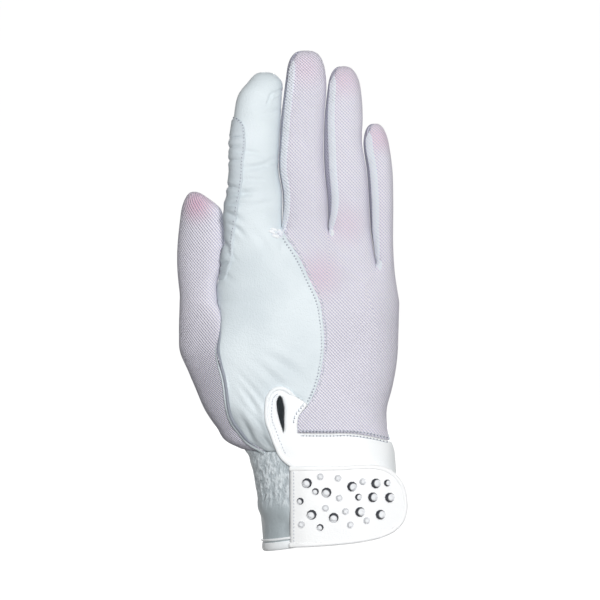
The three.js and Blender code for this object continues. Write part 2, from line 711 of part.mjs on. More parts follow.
// The strip between two fingers: round the sides that face each other and pointed at the crotch
function gussetOutline(number) {
  const left = FINGERS[number - 1];
  const right = FINGERS[number];
  const crotch = CROTCHES[number];
  const point = [palmEdge(number, crotch - GUSSET_POINT), crotch - GUSSET_POINT];
  const taper = (z, tip) => GUSSET_WIDTH * Math.min(1, (z - point[1]) / GUSSET_POINT)
    * (1 - 0.45 * clamp((z - crotch) / (tip - crotch)));
  const heights = (tip) => spread(crotch - 0.6 * GUSSET_POINT, tip - GUSSET_END, 6);
  const edge = (column, tip, side) => heights(tip).map((z) => {
    const x = columnEdges(column, z)[side > 0 ? 0 : 1];
    return [x + side * taper(z, tip), z];
  });
  const gapTop = Math.min(left.tip, right.tip);
  const leftSide = edge(number, left.tip, -1);
  const rightSide = edge(number + 1, right.tip, 1);
  const gap = (z) => (columnEdges(number, Math.min(z, left.tip - TIP_ROUND))[1]
    + columnEdges(number + 1, Math.min(z, right.tip - TIP_ROUND))[0]) / 2;
  const top = (finger) => {
    const taller = finger.tip === Math.max(left.tip, right.tip);
    return [gap(gapTop), finger.tip + (taller ? OVERSHOOT : GUSSET_END)];
  };
  return [point, ...rightSide, top(right), top(left), ...leftSide.reverse()];
}

function closedOutlines() {
  const seam = seamLine(BACK_SEAM, CROTCH_HEIGHT, 22);
  const hem = seamLine(MESH_HEM, CROTCH_HEIGHT, 6);
  const gapLine = spread(CROTCH_HEIGHT, REACH.top, 8).map((z) => [
    (columnEdges(1, Math.min(z, INDEX_TIP - TIP_ROUND))[1]
      + columnEdges(2, Math.min(z, MIDDLE_TIP - TIP_ROUND))[0]) / 2, z]);
  const mesh = [...gapLine.reverse(), ...seam, ...hem,
    [REACH.right, hem[hem.length - 1][1]], [REACH.right, REACH.top]];
  const yokeEdge = seamLine(YOKE_EDGE, CROTCH_HEIGHT, 24);
  const yoke = [...yokeEdge, ...seam.filter(([x, z]) => z < 0.43 * CROTCH_HEIGHT),
    ...hem, [REACH.right, hem[hem.length - 1][1]], [REACH.right, yokeEdge[0][1]]];
  const patch = [
    ...seamLine(PATCH_EDGE, CROTCH_HEIGHT, 20),
    [REACH.left, PATCH_EDGE[PATCH_EDGE.length - 1].up * CROTCH_HEIGHT],
    [REACH.left, PATCH_EDGE[0].up * CROTCH_HEIGHT],
  ];
  return { mesh, yoke, patch, yokeEdge };
}

// The slit at the wrist: a leaf, widest near its top
function slitOutline() {
  const x = SLIT_TOP.across * HAND_WIDTH;
  const z = SLIT_TOP.up * CROTCH_HEIGHT;
  const row = (down, left, right) => ({ down, left, right });
  const rows = [row(0.04, -0.2, 0.2), row(0.12, -0.42, 0.35), row(0.33, -0.45, 0.62),
    row(0.62, -0.1, 0.62), row(0.9, 0.38, 0.62)];
  const at = (down, side) => [x + side * SLIT_WIDTH, z - down * SLIT_LENGTH];
  return [at(0, 0), ...rows.map((r) => at(r.down, r.right)), at(1, 0.55),
    ...rows.reverse().map((r) => at(r.down, r.left))];
}

// A band along a line of [x, z] points, to one side of it
function band(line, width) {
  const beside = line.map(([x, z], i) => {
    const [lastX, lastZ] = line[Math.max(0, i - 1)];
    const [nextX, nextZ] = line[Math.min(line.length - 1, i + 1)];
    const along = new THREE.Vector2(nextX - lastX, nextZ - lastZ).normalize();
    return [x + along.y * width, z - along.x * width];
  });
  return [...line, ...beside.reverse()];
}

// The wrist tab follows the cuff and then runs on straighter, standing off at its free end
const TAB_END = TAB_LEFT + TAB_LENGTH;
const TAB_LIFT = BINDING_PROUD + CLEAR;
function tabRear(x, z) {
  const over = clamp(1 - (TAB_END - x) / TAB_STRAIGHT_LENGTH);
  return backY(x - TAB_END_OVER * over ** 2, z) - TAB_LIFT;
}

function tabPieces() {
  const outline = TAB_EDGE.map((row) => (
    [TAB_LEFT + row.along * TAB_LENGTH, TAB_BOTTOM + row.up * TAB_HEIGHT]));
  const last = outline.length - 1;
  const xs = spread(TAB_LEFT - 1, TAB_END + 1, 12);
  const zs = spread(TAB_BOTTOM - 2, TAB_BOTTOM + 1.1 * TAB_HEIGHT, 3);
  const sheet = (proud) => slab(xs, zs, (x, z) => tabRear(x, z) - TAB_WALL - proud, tabRear);
  const inset = (width) => {
    const points = grow(outline, -width);
    return [[TAB_LEFT - width, points[0][1]], ...points, [TAB_LEFT - width, points[last][1]]];
  };
  const pad = slab(
    spread(TAB_END - PAD_FROM_END, TAB_END - PAD_FROM_END + PAD_WIDTH, 3),
    spread(TAB_BOTTOM + (TAB_HEIGHT - PAD_HEIGHT) / 2, TAB_BOTTOM + (TAB_HEIGHT + PAD_HEIGHT) / 2, 3),
    (x, z) => tabRear(x, z) + CLEAR,
    (x, z) => backY(x, z) - CLEAR,
  );
  return {
    closure_tab: sheet(0).intersect(prism(inset(TAB_BINDING_WIDTH + CLEAR))).intersect(prism(outline)),
    tab_binding: sheet(TAB_BINDING_PROUD).intersect(prism(outline))
      .subtract(prism(inset(TAB_BINDING_WIDTH))),
    closure_pad: pad,
  };
}

// A cut stone in its round cup: a table, a crown of facets and a low wall
function stoneMesh(name, { along, up, size }) {
  const radius = size / 2;
  const height = STONE_HEIGHT_SHARE * size;
  const profile = [[0, 0], [1, 0], [1, 0.35], [0.56, 1], [0, 1]].map(([out, high]) => (
    new THREE.Vector2(out * radius, high * height)));
  const mesh = new THREE.Mesh(
    new THREE.LatheGeometry(profile, STONE_SIDES),
    new THREE.MeshStandardMaterial(CRYSTAL),
  );
  const x = TAB_LEFT + along * TAB_LENGTH;
  const z = TAB_BOTTOM + up * TAB_HEIGHT;
  const face = (px, pz) => new THREE.Vector3(px, tabRear(px, pz) - TAB_WALL, pz);
  const step = 1;
  const sideways = face(x + step, z).sub(face(x - step, z));
  const upwards = face(x, z + step).sub(face(x, z - step));
  const out = sideways.cross(upwards).normalize();
  mesh.position.copy(face(x, z).addScaledVector(out, CLEAR));
  mesh.quaternion.setFromUnitVectors(new THREE.Vector3(0, 1, 0), out);
  mesh.name = name;
  return mesh;
}

// Leather and mesh of the hand, cut from one skin along its seams
function handPieces() {
  const outlines = closedOutlines();
  const skin = gloveSkin().solid(0, WALL);
  const aboveCuff = prism([[REACH.left, CUFF_HEIGHT + CLEAR], [REACH.right, CUFF_HEIGHT + CLEAR],
    [REACH.right, REACH.top], [REACH.left, REACH.top]]);
  const handBack = backHalf(handMiddle, SEAM_BEHIND);
  const thumbRegion = [...thumbLine(), [REACH.left, THUMB_TIP + OVERSHOOT],
    [REACH.left, CUFF_HEIGHT + CLEAR], [thumbSeamX(CUFF_HEIGHT), CUFF_HEIGHT + CLEAR]];
  const upper = skin.intersect(aboveCuff);
  const thumb = upper.intersect(prism(thumbRegion));
  const gussets = [1, 2, 3].map(gussetOutline);
  const hand = gussets.reduce(
    (rest, outline) => rest.subtract(prism(grow(outline, CLEAR))),
    upper.subtract(prism(grow(thumbRegion, CLEAR))),
  );
  const strips = gussets.map((outline) => upper.intersect(prism(outline)));
  const back = hand.intersect(handBack);
  const boundEdge = outlines.yokeEdge.slice(0, YOKE_BOUND_POINTS);
  const yokeCut = prism(grow(outlines.yoke, CLEAR));
  const yoke = skin.intersect(handBack).intersect(prism(outlines.yoke));
  const raised = slab(
    spread(-0.42 * HAND_WIDTH, -0.15 * HAND_WIDTH, 10),
    spread(0.2 * CROTCH_HEIGHT, 0.53 * CROTCH_HEIGHT, 12),
    (x, z) => backY(x, z) - BINDING_PROUD,
    (x, z) => backY(x, z) + WALL,
  );
  return {
    palm_leather: [hand.subtract(backHalf(handMiddle, SEAM_BEHIND + CLEAR)), WHITE_LEATHER],
    back_leather: [back.subtract(prism(grow(outlines.mesh, CLEAR))).subtract(yokeCut)
      .subtract(prism(grow(outlines.patch, CLEAR))), WHITE_LEATHER],
    index_patch: [back.intersect(prism(outlines.patch)), SHADED_LEATHER],
    back_mesh: [back.intersect(prism(outlines.mesh)).subtract(yokeCut), LILAC_MESH],
    gusset_index_middle: [strips[0], SHADED_LEATHER],
    gusset_middle_ring: [strips[1], SHADED_LEATHER],
    gusset_ring_little: [strips[2], SHADED_LEATHER],
    thumb_mesh: [thumb.intersect(backHalf(thumbMiddle, SEAM_BEHIND)), LILAC_MESH],
    thumb_leather: [thumb.subtract(backHalf(thumbMiddle, SEAM_BEHIND + CLEAR)), WHITE_LEATHER],
    wrist_yoke: [yoke.subtract(prism(slitOutline()))
      .subtract(prism(band(boundEdge, SLIT_BINDING_WIDTH + CLEAR))), PALE_TAB],
    slit_binding: [raised.intersect(prism(band(boundEdge, SLIT_BINDING_WIDTH))), PALE_TAB],
  };
}

// The cuff, cut away under the yoke, and the folded band round its lower edge
function cuffPieces() {
  const { yoke } = closedOutlines();
  const strip = (low, high) => prism([
    [REACH.left, HEM_SLOPE * REACH.left + low], [REACH.right, HEM_SLOPE * REACH.right + low],
    [REACH.right, high(REACH.right)], [REACH.left, high(REACH.left)]]);
  const heights = [-0.3, 0.2, 0.36, 0.5, 0.66, 0.82, 1.05].map((share) => share * CUFF_HEIGHT);
  const ends = [-0.3, 0, 0.24].map((share) => share * CUFF_HEIGHT);
  const tube = cuffSkin(heights, GATHERED_SHARES, true).solid(0, WALL);
  const fold = cuffSkin([...ends, 0.5 * CUFF_HEIGHT], PLAIN_SHARES, false)
    .solid(BINDING_PROUD, WALL + BINDING_PROUD);
  const underYoke = prism(grow(yoke, CLEAR)).intersect(backHalf(handMiddle, SEAM_BEHIND + CLEAR));
  return {
    cuff: [tube.intersect(strip(HEM_HEIGHT + CLEAR, () => CUFF_HEIGHT)).subtract(underYoke),
      WHITE_LEATHER],
    hem_binding: [fold.intersect(strip(0, (x) => HEM_SLOPE * x + HEM_HEIGHT)), WHITE_LEATHER],
  };
}

const glove = new THREE.Group();
const pieces = { ...handPieces(), ...cuffPieces() };
for (const [name, [solid, finish]] of Object.entries(pieces)) {
  glove.add(toMesh(name, solid, finish));
}
const tab = tabPieces();
glove.add(toMesh('closure_tab', tab.closure_tab, PALE_TAB));
glove.add(toMesh('tab_binding', tab.tab_binding, PALE_TAB));
glove.add(toMesh('closure_pad', tab.closure_pad, HOOK_PAD));
STONES.forEach((stone, i) => {
  glove.add(stoneMesh(`stone_${String(i + 1).padStart(2, '0')}`, stone));
});

export default glove;
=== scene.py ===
import bmesh
import bpy
import numpy as np
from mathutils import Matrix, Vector


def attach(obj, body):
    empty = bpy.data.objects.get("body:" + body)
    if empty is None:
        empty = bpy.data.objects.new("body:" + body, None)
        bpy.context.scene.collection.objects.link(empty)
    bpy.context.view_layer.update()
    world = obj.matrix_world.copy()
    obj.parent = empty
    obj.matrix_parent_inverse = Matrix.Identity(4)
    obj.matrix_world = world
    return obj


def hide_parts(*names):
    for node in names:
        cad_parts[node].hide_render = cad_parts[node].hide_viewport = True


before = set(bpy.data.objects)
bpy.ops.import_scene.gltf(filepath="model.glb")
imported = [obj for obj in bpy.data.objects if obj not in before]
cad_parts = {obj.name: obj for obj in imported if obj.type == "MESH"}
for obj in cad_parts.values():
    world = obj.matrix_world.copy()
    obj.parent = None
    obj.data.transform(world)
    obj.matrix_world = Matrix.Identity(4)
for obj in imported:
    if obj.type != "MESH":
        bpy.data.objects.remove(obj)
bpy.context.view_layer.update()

# The camera looks level at the back of the hand, from far enough off that nothing spreads.
# Sizes in this file are millimetres, as on a glove maker's pattern, and meshes are in metres.
MM = 0.001
VIEW_CENTRE = (-12.9, 107.2)
VIEW_WIDTH = 267
VIEW_DISTANCE = 1500
BACK_NEARER = 10
SENSOR = 36

camera = bpy.data.objects.new("camera", bpy.data.cameras.new("camera"))
camera.data.sensor_width = SENSOR
camera.data.lens = SENSOR * (VIEW_DISTANCE - BACK_NEARER) / VIEW_WIDTH
camera.location = (VIEW_CENTRE[0] * MM, -VIEW_DISTANCE * MM, VIEW_CENTRE[1] * MM)
camera.rotation_euler = (np.pi / 2, 0, 0)
bpy.context.scene.collection.objects.link(camera)
bpy.context.scene.camera = camera


# The leather of the back: one panel of thin white sheepskin from the index finger's tip down its
# outer side to the cuff. The glove's whole form is worked out here, because this panel is cut
# first and all the others are sewn to it. It is skived thin, turned and sewn from inside.
CUFF_HEIGHT = 40
THUMB_CROTCH = 106
LITTLE_CROTCH = 124
CROTCH_HEIGHT = 139
INDEX_TIP = 209.5
MIDDLE_TIP = 219.5
RING_TIP = 212.5
LITTLE_TIP = 186.5
THUMB_TIP = 156
HAND_WIDTH = 75.4
HAND_DEPTH = 27
WRIST_WIDTH = 62
WRIST_DEPTH = 41
FINGER_DEPTH = 17
FINGER_TAPER = 0.14
FINGER_GAP = 0.16
GAP_OPENS = 7
TIP_ROUND = 11
TIP_SQUARE = 3.0
HAND_TURN = 0.12
FINGER_CURL = 8
THUMB_TURN = 0.45
THUMB_LIFT = 8
WEB_DROP = 9
THUMB_WEB_DROP = 46
WEB_BLEND = 62
ROUNDNESS = 2.4
WRIST_ROUNDNESS = 3
ROUNDS_OFF = 27.8
SEAM_BEHIND = 3
SIDE_OPENS = 12
WALL = 1.1


def table(columns, rows):
    """The named columns of a short table, as arrays, with its rows in the order of the first."""
    return dict(zip(columns.split(), np.array(sorted(rows), float).T))


def read(rows, key, column, place):
    """A column at any place: cubic between rows, with each row's slope taken from the
    parabola through it and its two neighbours."""
    at, value = rows[key], rows[column]
    slope = np.gradient(value, at)
    place = np.clip(place, at[0], at[-1])
    low = np.clip(np.searchsorted(at, place, side="right") - 1, 0, len(at) - 2)
    step = at[low + 1] - at[low]
    t = (place - at[low]) / step
    return (
        (1 + 2 * t) * (1 - t) ** 2 * value[low]
        + t * (1 - t) ** 2 * step * slope[low]
        + t * t * (3 - 2 * t) * value[low + 1]
        + t * t * (t - 1) * step * slope[low + 1]
    )


def ease(value):
    """0 to 1 with a level start and end: 3t squared less 2t cubed."""
    t = np.clip(value, 0, 1)
    return t * t * (3 - 2 * t)


def lerp(low, high, share):
    """The value a share of the way from low to high."""
    return low + (high - low) * share


def dome(u, power=ROUNDNESS):
    """A superellipse's height: the root of 1 less |u| to a power."""
    return np.maximum(0, 1 - np.abs(u) ** power) ** (1 / power)


def arch(share):
    """A quarter circle that starts level: 1 less the root of 1 less share squared."""
    return 1 - np.sqrt(1 - np.clip(share, 0, 1) ** 2)


def across(x, left, right):
    """-1 at the left edge, 1 at the right edge."""
    return (2 * x - left - right) / np.maximum(right - left, 1e-6)


def round_x(angle, left, right):
    """x round a section: the middle less the half width times the angle's cosine."""
    return (left + right) / 2 - (right - left) / 2 * np.cos(angle)


# Sections of the wrist and hand: shares of CUFF_HEIGHT or THUMB_CROTCH, and of the widths
CUFF_ROWS = table("up left right depth", [
    (-0.30, -0.473, 0.476, 0.500),
    (0.00, -0.476, 0.480, 0.500),
    (0.24, -0.490, 0.480, 0.497),
    (0.60, -0.529, 0.480, 0.490),
    (0.84, -0.562, 0.475, 0.482),
])
HAND_ROWS = table("up left right depth", [
    (0.380, -0.510, 0.385, 0.705),
    (0.409, -0.595, 0.380, 0.690),
    (0.472, -0.665, 0.352, 0.665),
    (0.537, -0.728, 0.343, 0.645),
    (0.642, -0.795, 0.378, 0.615),
    (0.708, -0.835, 0.397, 0.595),
    (0.799, -0.888, 0.412, 0.570),
    (0.865, -0.892, 0.415, 0.555),
    (1.000, -0.888, 0.421, 0.530),
])
PALM_ROWS = table("up left right depth", [
    (-1.400, -0.588, 0.350, 0.600),
    (0.000, -0.660, 0.421, 0.525),
    (0.240, -0.662, 0.404, 0.495),
    (0.370, -0.643, 0.396, 0.475),
    (0.580, -0.634, 0.388, 0.440),
    (0.830, -0.616, 0.384, 0.395),
    (1.000, -0.614, 0.384, 0.365),
])
THUMB_SEAM = table("up across", [
    (0.398, -0.526),
    (0.482, -0.565),
    (0.553, -0.588),
    (0.684, -0.614),
    (0.738, -0.634),
    (0.797, -0.650),
    (0.869, -0.640),
    (0.963, -0.642),
    (1.000, -0.660),
])
# The fingers' outlines: shares of their length above the crotch and of HAND_WIDTH
FINGERS = [
    dict(tip=INDEX_TIP, depth=1.0, rows=table("along left right", [
        (0.00, -0.614, -0.277),
        (0.10, -0.620, -0.275),
        (0.23, -0.597, -0.275),
        (0.37, -0.586, -0.297),
        (0.55, -0.584, -0.292),
        (0.71, -0.565, -0.283),
        (0.86, -0.535, -0.277),
        (0.95, -0.482, -0.270),
        (1.00, -0.470, -0.290),
    ])),
    dict(tip=MIDDLE_TIP, depth=1.0, rows=table("along left right", [
        (0.00, -0.277, -0.003),
        (0.20, -0.275, -0.010),
        (0.33, -0.297, -0.026),
        (0.50, -0.292, -0.030),
        (0.63, -0.283, -0.025),
        (0.80, -0.262, -0.012),
        (1.00, -0.235, -0.035),
    ])),
    dict(tip=RING_TIP, depth=0.96, rows=table("along left right", [
        (0.00, -0.003, 0.248),
        (0.20, -0.010, 0.239),
        (0.36, -0.026, 0.226),
        (0.54, -0.030, 0.200),
        (0.69, -0.025, 0.205),
        (0.88, -0.005, 0.190),
        (1.00, 0.010, 0.165),
    ])),
    dict(tip=LITTLE_TIP, depth=0.86, rows=table("along left right", [
        (0.00, 0.248, 0.384),
        (0.28, 0.239, 0.385),
        (0.56, 0.226, 0.380),
        (0.80, 0.206, 0.360),
        (1.00, 0.212, 0.335),
    ])),
]
THUMB = dict(tip=THUMB_TIP, depth=1.08, rows=table("along left right", [
    (0.00, -0.888, -0.660),
    (0.06, -0.887, -0.660),
    (0.16, -0.894, -0.662),
    (0.29, -0.903, -0.643),
    (0.49, -0.905, -0.622),
    (0.72, -0.892, -0.626),
    (0.86, -0.880, -0.650),
    (0.93, -0.872, -0.698),
    (1.00, -0.862, -0.748),
]))
CROTCHES = [CROTCH_HEIGHT, CROTCH_HEIGHT, CROTCH_HEIGHT, LITTLE_CROTCH, LITTLE_CROTCH]
PALM_SHARES = [0, 0.29, 0.55, 0.79, 1]


def measured(rows, base, tall, wide, deep):
    """A table of sections in millimetres."""
    return dict(z=base + rows["up"] * tall, left=rows["left"] * wide,
                right=rows["right"] * wide, depth=rows["depth"] * deep)


CUFF_FORM = measured(CUFF_ROWS, 0, CUFF_HEIGHT, WRIST_WIDTH, WRIST_DEPTH)
HAND_FORM = measured(HAND_ROWS, 0, THUMB_CROTCH, HAND_WIDTH, HAND_DEPTH)
WHOLE = {name: np.concatenate([CUFF_FORM[name], HAND_FORM[name]]) for name in CUFF_FORM}
PALM = measured(PALM_ROWS, THUMB_CROTCH, CROTCH_HEIGHT - THUMB_CROTCH, HAND_WIDTH, HAND_DEPTH)


def whole(column, z):
    """The wrist and hand with the thumb's base: an edge or the half depth at a height."""
    return read(WHOLE, "z", column, z)


def thumb_edge(z):
    """The line between thumb and hand, which runs on down the cuff."""
    low = lerp(whole("left", z), whole("right", z), 0.15)
    seam = read(THUMB_SEAM, "up", "across", z / THUMB_CROTCH) * HAND_WIDTH
    return lerp(low, seam, ease((z / THUMB_CROTCH - 0.40) / 0.16))


def finger_at(finger, base, z):
    """Left edge, right edge and half depth of a finger, all three drawn in by a dome at its tip."""
    along = (z - base) / (finger["tip"] - base)
    left = read(finger["rows"], "along", "left", along) * HAND_WIDTH
    right = read(finger["rows"], "along", "right", along) * HAND_WIDTH
    into_tip = np.clip((z - finger["tip"] + TIP_ROUND) / TIP_ROUND, 0, 1)
    middle, half = (left + right) / 2, (right - left) / 2 * dome(into_tip, TIP_SQUARE)
    slim = 1 - FINGER_TAPER * np.clip(along, 0, 1)
    depth = finger["depth"] * FINGER_DEPTH / 2 * slim * dome(into_tip)
    return middle - half, middle + half, depth


def digit_depth(column, z):
    """Half depth of a finger, or of the thumb as column 0, kept level below its foot."""
    digit, base = (FINGERS[column - 1], CROTCH_HEIGHT) if column else (THUMB, THUMB_CROTCH)
    return finger_at(digit, base, np.maximum(z, base))[2]


def palm_edge(number, z):
    """The line between two of the hand's four columns, or its outer edge."""
    left = np.where(z < THUMB_CROTCH, thumb_edge(z), read(PALM, "z", "left", z))
    right = np.where(z < THUMB_CROTCH, whole("right", z), read(PALM, "z", "right", z))
    even = lerp(left, right, PALM_SHARES[number])
    if number in (0, 4):
        return even
    crotch = FINGERS[number]["rows"]["left"][0] * HAND_WIDTH
    if number == 3:
        lean = (CROTCH_HEIGHT - z) / (CROTCH_HEIGHT - LITTLE_CROTCH)
        crotch = crotch + 0.034 * HAND_WIDTH * np.clip(lean, 0, 1)
    return lerp(even, crotch, ease((z - THUMB_CROTCH) / (LITTLE_CROTCH - THUMB_CROTCH)))


def column_edges(column, z):
    """Left and right edge of a finger's column, with a narrow gap above the crotches."""
    finger = FINGERS[column - 1]
    gap_left = FINGER_GAP / 2 * ease((z - CROTCHES[column - 1]) / GAP_OPENS) * (column > 1)
    gap_right = FINGER_GAP / 2 * ease((z - CROTCHES[column]) / GAP_OPENS) * (column < 4)
    left, right, _ = finger_at(finger, CROTCH_HEIGHT, z)
    low = z <= CROTCH_HEIGHT
    return (np.where(low, palm_edge(column - 1, z), left) + gap_left,
            np.where(low, palm_edge(column, z), right) - gap_right)


def body_half(x, z):
    """Half thickness of wrist and hand as one body up to the thumb's crotch: a superellipse, squarer
    at the wrist."""
    z = np.minimum(z, THUMB_CROTCH)
    power = lerp(WRIST_ROUNDNESS, ROUNDNESS, ease((z - CUFF_HEIGHT) / ROUNDS_OFF))
    return whole("depth", z) * dome(across(x, whole("left", z), whole("right", z)), power)


def finger_half(column, x, z):
    """Half thickness in one finger's column: the palm's dome, which rounds off into the
    finger's own towards the crotch."""
    low_z = np.minimum(z, CROTCH_HEIGHT)
    palm_across = across(x, palm_edge(0, low_z), palm_edge(4, low_z))
    palm = read(PALM, "z", "depth", z) * dome(palm_across)
    into_web = z - THUMB_CROTCH + THUMB_WEB_DROP
    edge = np.where(z > THUMB_CROTCH, 1, arch(into_web / THUMB_WEB_DROP))
    beside_thumb = np.clip((1 - palm_across) / 2, 0, 1) ** 2
    web = lerp(ease(into_web / WEB_BLEND), edge, beside_thumb)
    hand = lerp(body_half(x, z), palm, web)
    left, right = column_edges(column, z)
    place = np.clip((1 + across(x, left, right)) / 2, 0, 1)
    crotch = lerp(CROTCHES[column - 1], CROTCHES[column], place)
    edge = np.where(z > crotch, 1, arch((z - crotch + WEB_DROP) / WEB_DROP))
    share = lerp(ease((z - crotch + 16) / 24), edge, np.clip(across(x, left, right), -1, 1) ** 2)
    return lerp(hand, digit_depth(column, z) * dome(across(x, left, right)), share)


def hand_half(column, x, z):
    """Half thickness of the hand at any x below the crotches, and of one finger above them."""
    column_at = 1 + sum((x > palm_edge(number, z)).astype(int) for number in (1, 2, 3))
    below = np.select([column_at == number for number in (1, 2, 3, 4)],
                      [finger_half(number, x, z) for number in (1, 2, 3, 4)])
    return np.where(z <= CROTCH_HEIGHT, below, finger_half(column, x, z))


def hand_middle(x, z):
    """Depth of the hand's middle surface: a slight turn, and the fingers' curl."""
    curl = np.clip((z - CROTCH_HEIGHT) / (MIDDLE_TIP - CROTCH_HEIGHT), 0, 1) ** 2
    turn = ease((z - CUFF_HEIGHT) / (0.43 * CROTCH_HEIGHT))
    return HAND_TURN * (x + 0.11 * HAND_WIDTH) * turn + FINGER_CURL * curl


def thumb_half(x, z):
    """Half thickness of the thumb's column."""
    left, right = thumb_edges(z)
    thumb = digit_depth(0, z) * dome(across(x, left, right))
    into_web = z - THUMB_CROTCH + THUMB_WEB_DROP
    edge = np.where(z > THUMB_CROTCH, 1, arch(into_web / THUMB_WEB_DROP))
    inward = np.clip((1 + across(x, left, right)) / 2, 0, 1) ** 2
    return lerp(body_half(x, z), thumb, lerp(ease(into_web / WEB_BLEND), edge, inward))


def thumb_edges(z):
    """Left and right edge of the thumb's column."""
    left, right, _ = finger_at(THUMB, THUMB_CROTCH, z)
    low = z < THUMB_CROTCH
    return np.where(low, whole("left", z), left), np.where(low, thumb_edge(z), right)


def thumb_middle(x, z):
    """Depth of the thumb's middle surface: it turns towards the palm from the seam outwards."""
    above = THUMB["rows"]["right"][4] * HAND_WIDTH
    inner = lerp(thumb_edge(z), above, ease((z - THUMB_CROTCH + 16) / 32))
    return (
        hand_middle(inner, np.minimum(z, CROTCH_HEIGHT))
        + THUMB_TURN * (inner - x) * ease((z - CUFF_HEIGHT) / (0.36 * CROTCH_HEIGHT))
        + THUMB_LIFT * ease((z - THUMB_CROTCH) / (0.75 * (THUMB_TIP - THUMB_CROTCH)))
    )


def skin_at(column, x, z, angle):
    """A panel of the glove on a grid of x and z: y is the middle surface less the half thickness
    on the back, where the angle's sine is positive, or plus it on the palm."""
    z = np.broadcast_to(z, x.shape)
    back = np.where(np.sin(angle) >= -1e-9, 1.0, -1.0)
    if column == 0:
        y = thumb_middle(x, z) - back * thumb_half(x, z)
    else:
        y = hand_middle(x, z) - back * hand_half(column, x, z)
    return np.stack([x, y, z], axis=-1)


def skin(column, angle, z, left, right):
    """A panel of the glove between two edges, by the angle round its section."""
    return skin_at(column, round_x(angle, left, right), z, angle)


def back_y(x, z):
    """The back of the hand as a height over x and z, below the crotches."""
    hand = hand_middle(x, z) - hand_half(1, x, z)
    thumb = thumb_middle(x, z) - thumb_half(x, z)
    return np.where(x < thumb_edge(z), thumb, hand)


def grid_normals(points):
    """Outward unit normals of a grid: the cross product of its two directions."""
    along = np.gradient(points, axis=1)
    up = np.gradient(points, axis=0)
    normal = np.cross(along, up)
    length = np.linalg.norm(normal, axis=-1, keepdims=True)
    return normal / np.maximum(length, 1e-9)


def lengths(points, axis):
    """Distance along each row or column of a grid, from its start."""
    steps = np.linalg.norm(np.diff(points, axis=axis), axis=-1)
    start = [(0, 0), (0, 0)]
    start[axis] = (1, 0)
    return np.cumsum(np.pad(steps, start), axis=axis)


def turned_in(points, left=0, right=0, low=0, high=0, reach=1.3):
    """A panel whose edges are turned in at their seams: within reach of an edge the surface
    sinks along its normal by that edge's depth times the square of the share left."""
    side, rise = lengths(points, 1), lengths(points, 0)
    room = np.clip(side[:, -1:] / (4 * reach), 0, 1) ** 2
    sink = room * sum(
        np.asarray(depth) * np.clip(1 - distance / reach, 0, 1) ** 2
        for depth, distance in (
            (left, side), (right, side[:, -1:] - side), (low, rise), (high, rise[-1:] - rise))
    )
    return points - grid_normals(points) * sink[..., None]


def grid_faces(rows, columns):
    """Corner numbers of a grid's quads, as seen from outside."""
    start = (np.arange(rows - 1)[:, None] * columns + np.arange(columns - 1)).ravel()
    return np.stack([start, start + 1, start + columns + 1, start + columns], axis=1)


def joined(parts):
    """Several sets of points, faces and flat places as one set."""
    points, faces, flats, count = [], [], [], 0
    for part_points, part_faces, part_flat in parts:
        points.append(part_points.reshape(-1, 3))
        faces.append(part_faces + count)
        flats.append(part_flat.reshape(-1, 2))
        count += len(points[-1])
    return np.concatenate(points), np.concatenate(faces), np.concatenate(flats)


def grid(points, flat=None):
    """A grid of points as a part for joined(); flat is its place on the uncut material."""
    if flat is None:
        flat = np.stack([lengths(points, 1), points[..., 2]], axis=-1)
    return points, grid_faces(*points.shape[:2]), flat


MERGE_WITHIN = 2e-6


def piece(name, parts, finish, nodes, wall=0.0):
    """One piece of the glove from its parts: merged where they meet, given a wall inwards,
    and fixed to the glove in place of its solid."""
    points, faces, flats = joined(parts)
    mesh = bpy.data.meshes.new(name)
    mesh.vertices.add(len(points))
    mesh.vertices.foreach_set("co", (points * MM).ravel())
    corners = faces.shape[1]
    mesh.loops.add(faces.size)
    mesh.loops.foreach_set("vertex_index", faces.ravel())
    mesh.polygons.add(len(faces))
    mesh.polygons.foreach_set("loop_start", np.arange(len(faces)) * corners)
    mesh.update(calc_edges=True)
    layer = mesh.uv_layers.new(name="flat")
    layer.data.foreach_set("uv", flats[faces.ravel()].ravel())
    work = bmesh.new()
    work.from_mesh(mesh)
    bmesh.ops.remove_doubles(work, verts=work.verts, dist=MERGE_WITHIN)
    work.to_mesh(mesh)
    work.free()
    mesh.shade_smooth()
    mesh.materials.append(finish)
    made = bpy.data.objects.new(name, mesh)
    bpy.context.scene.collection.objects.link(made)
    if wall:
        solid = made.modifiers.new("wall", "SOLIDIFY")
        solid.thickness = wall * MM
        solid.offset = -1
    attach(made, "root")
    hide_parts(*nodes)
    return made


class Value:
    """A number or colour that varies over a surface. Arithmetic on a number adds Math nodes."""

    def __init__(self, finish, socket):
        self.finish, self.socket = finish, socket

    def math(self, operation, *others):
        values = dict(enumerate((self, *others)))
        return self.finish.node("ShaderNodeMath", {"operation": operation}, values)

    def __add__(self, other):
        return self.math("ADD", other)

    def __sub__(self, other):
        return self.math("SUBTRACT", other)

    def __mul__(self, other):
        return self.math("MULTIPLY", other)

    def __rsub__(self, other):
        return (self * -1).math("ADD", other)

    __radd__ = __add__
    __rmul__ = __mul__

    def between(self, low, high):
        """0 at low, 1 at high, eased."""
        return self.finish.node("ShaderNodeMapRange", {"interpolation_type": "SMOOTHSTEP"},
                                {"Value": self, "From Min": low, "From Max": high})


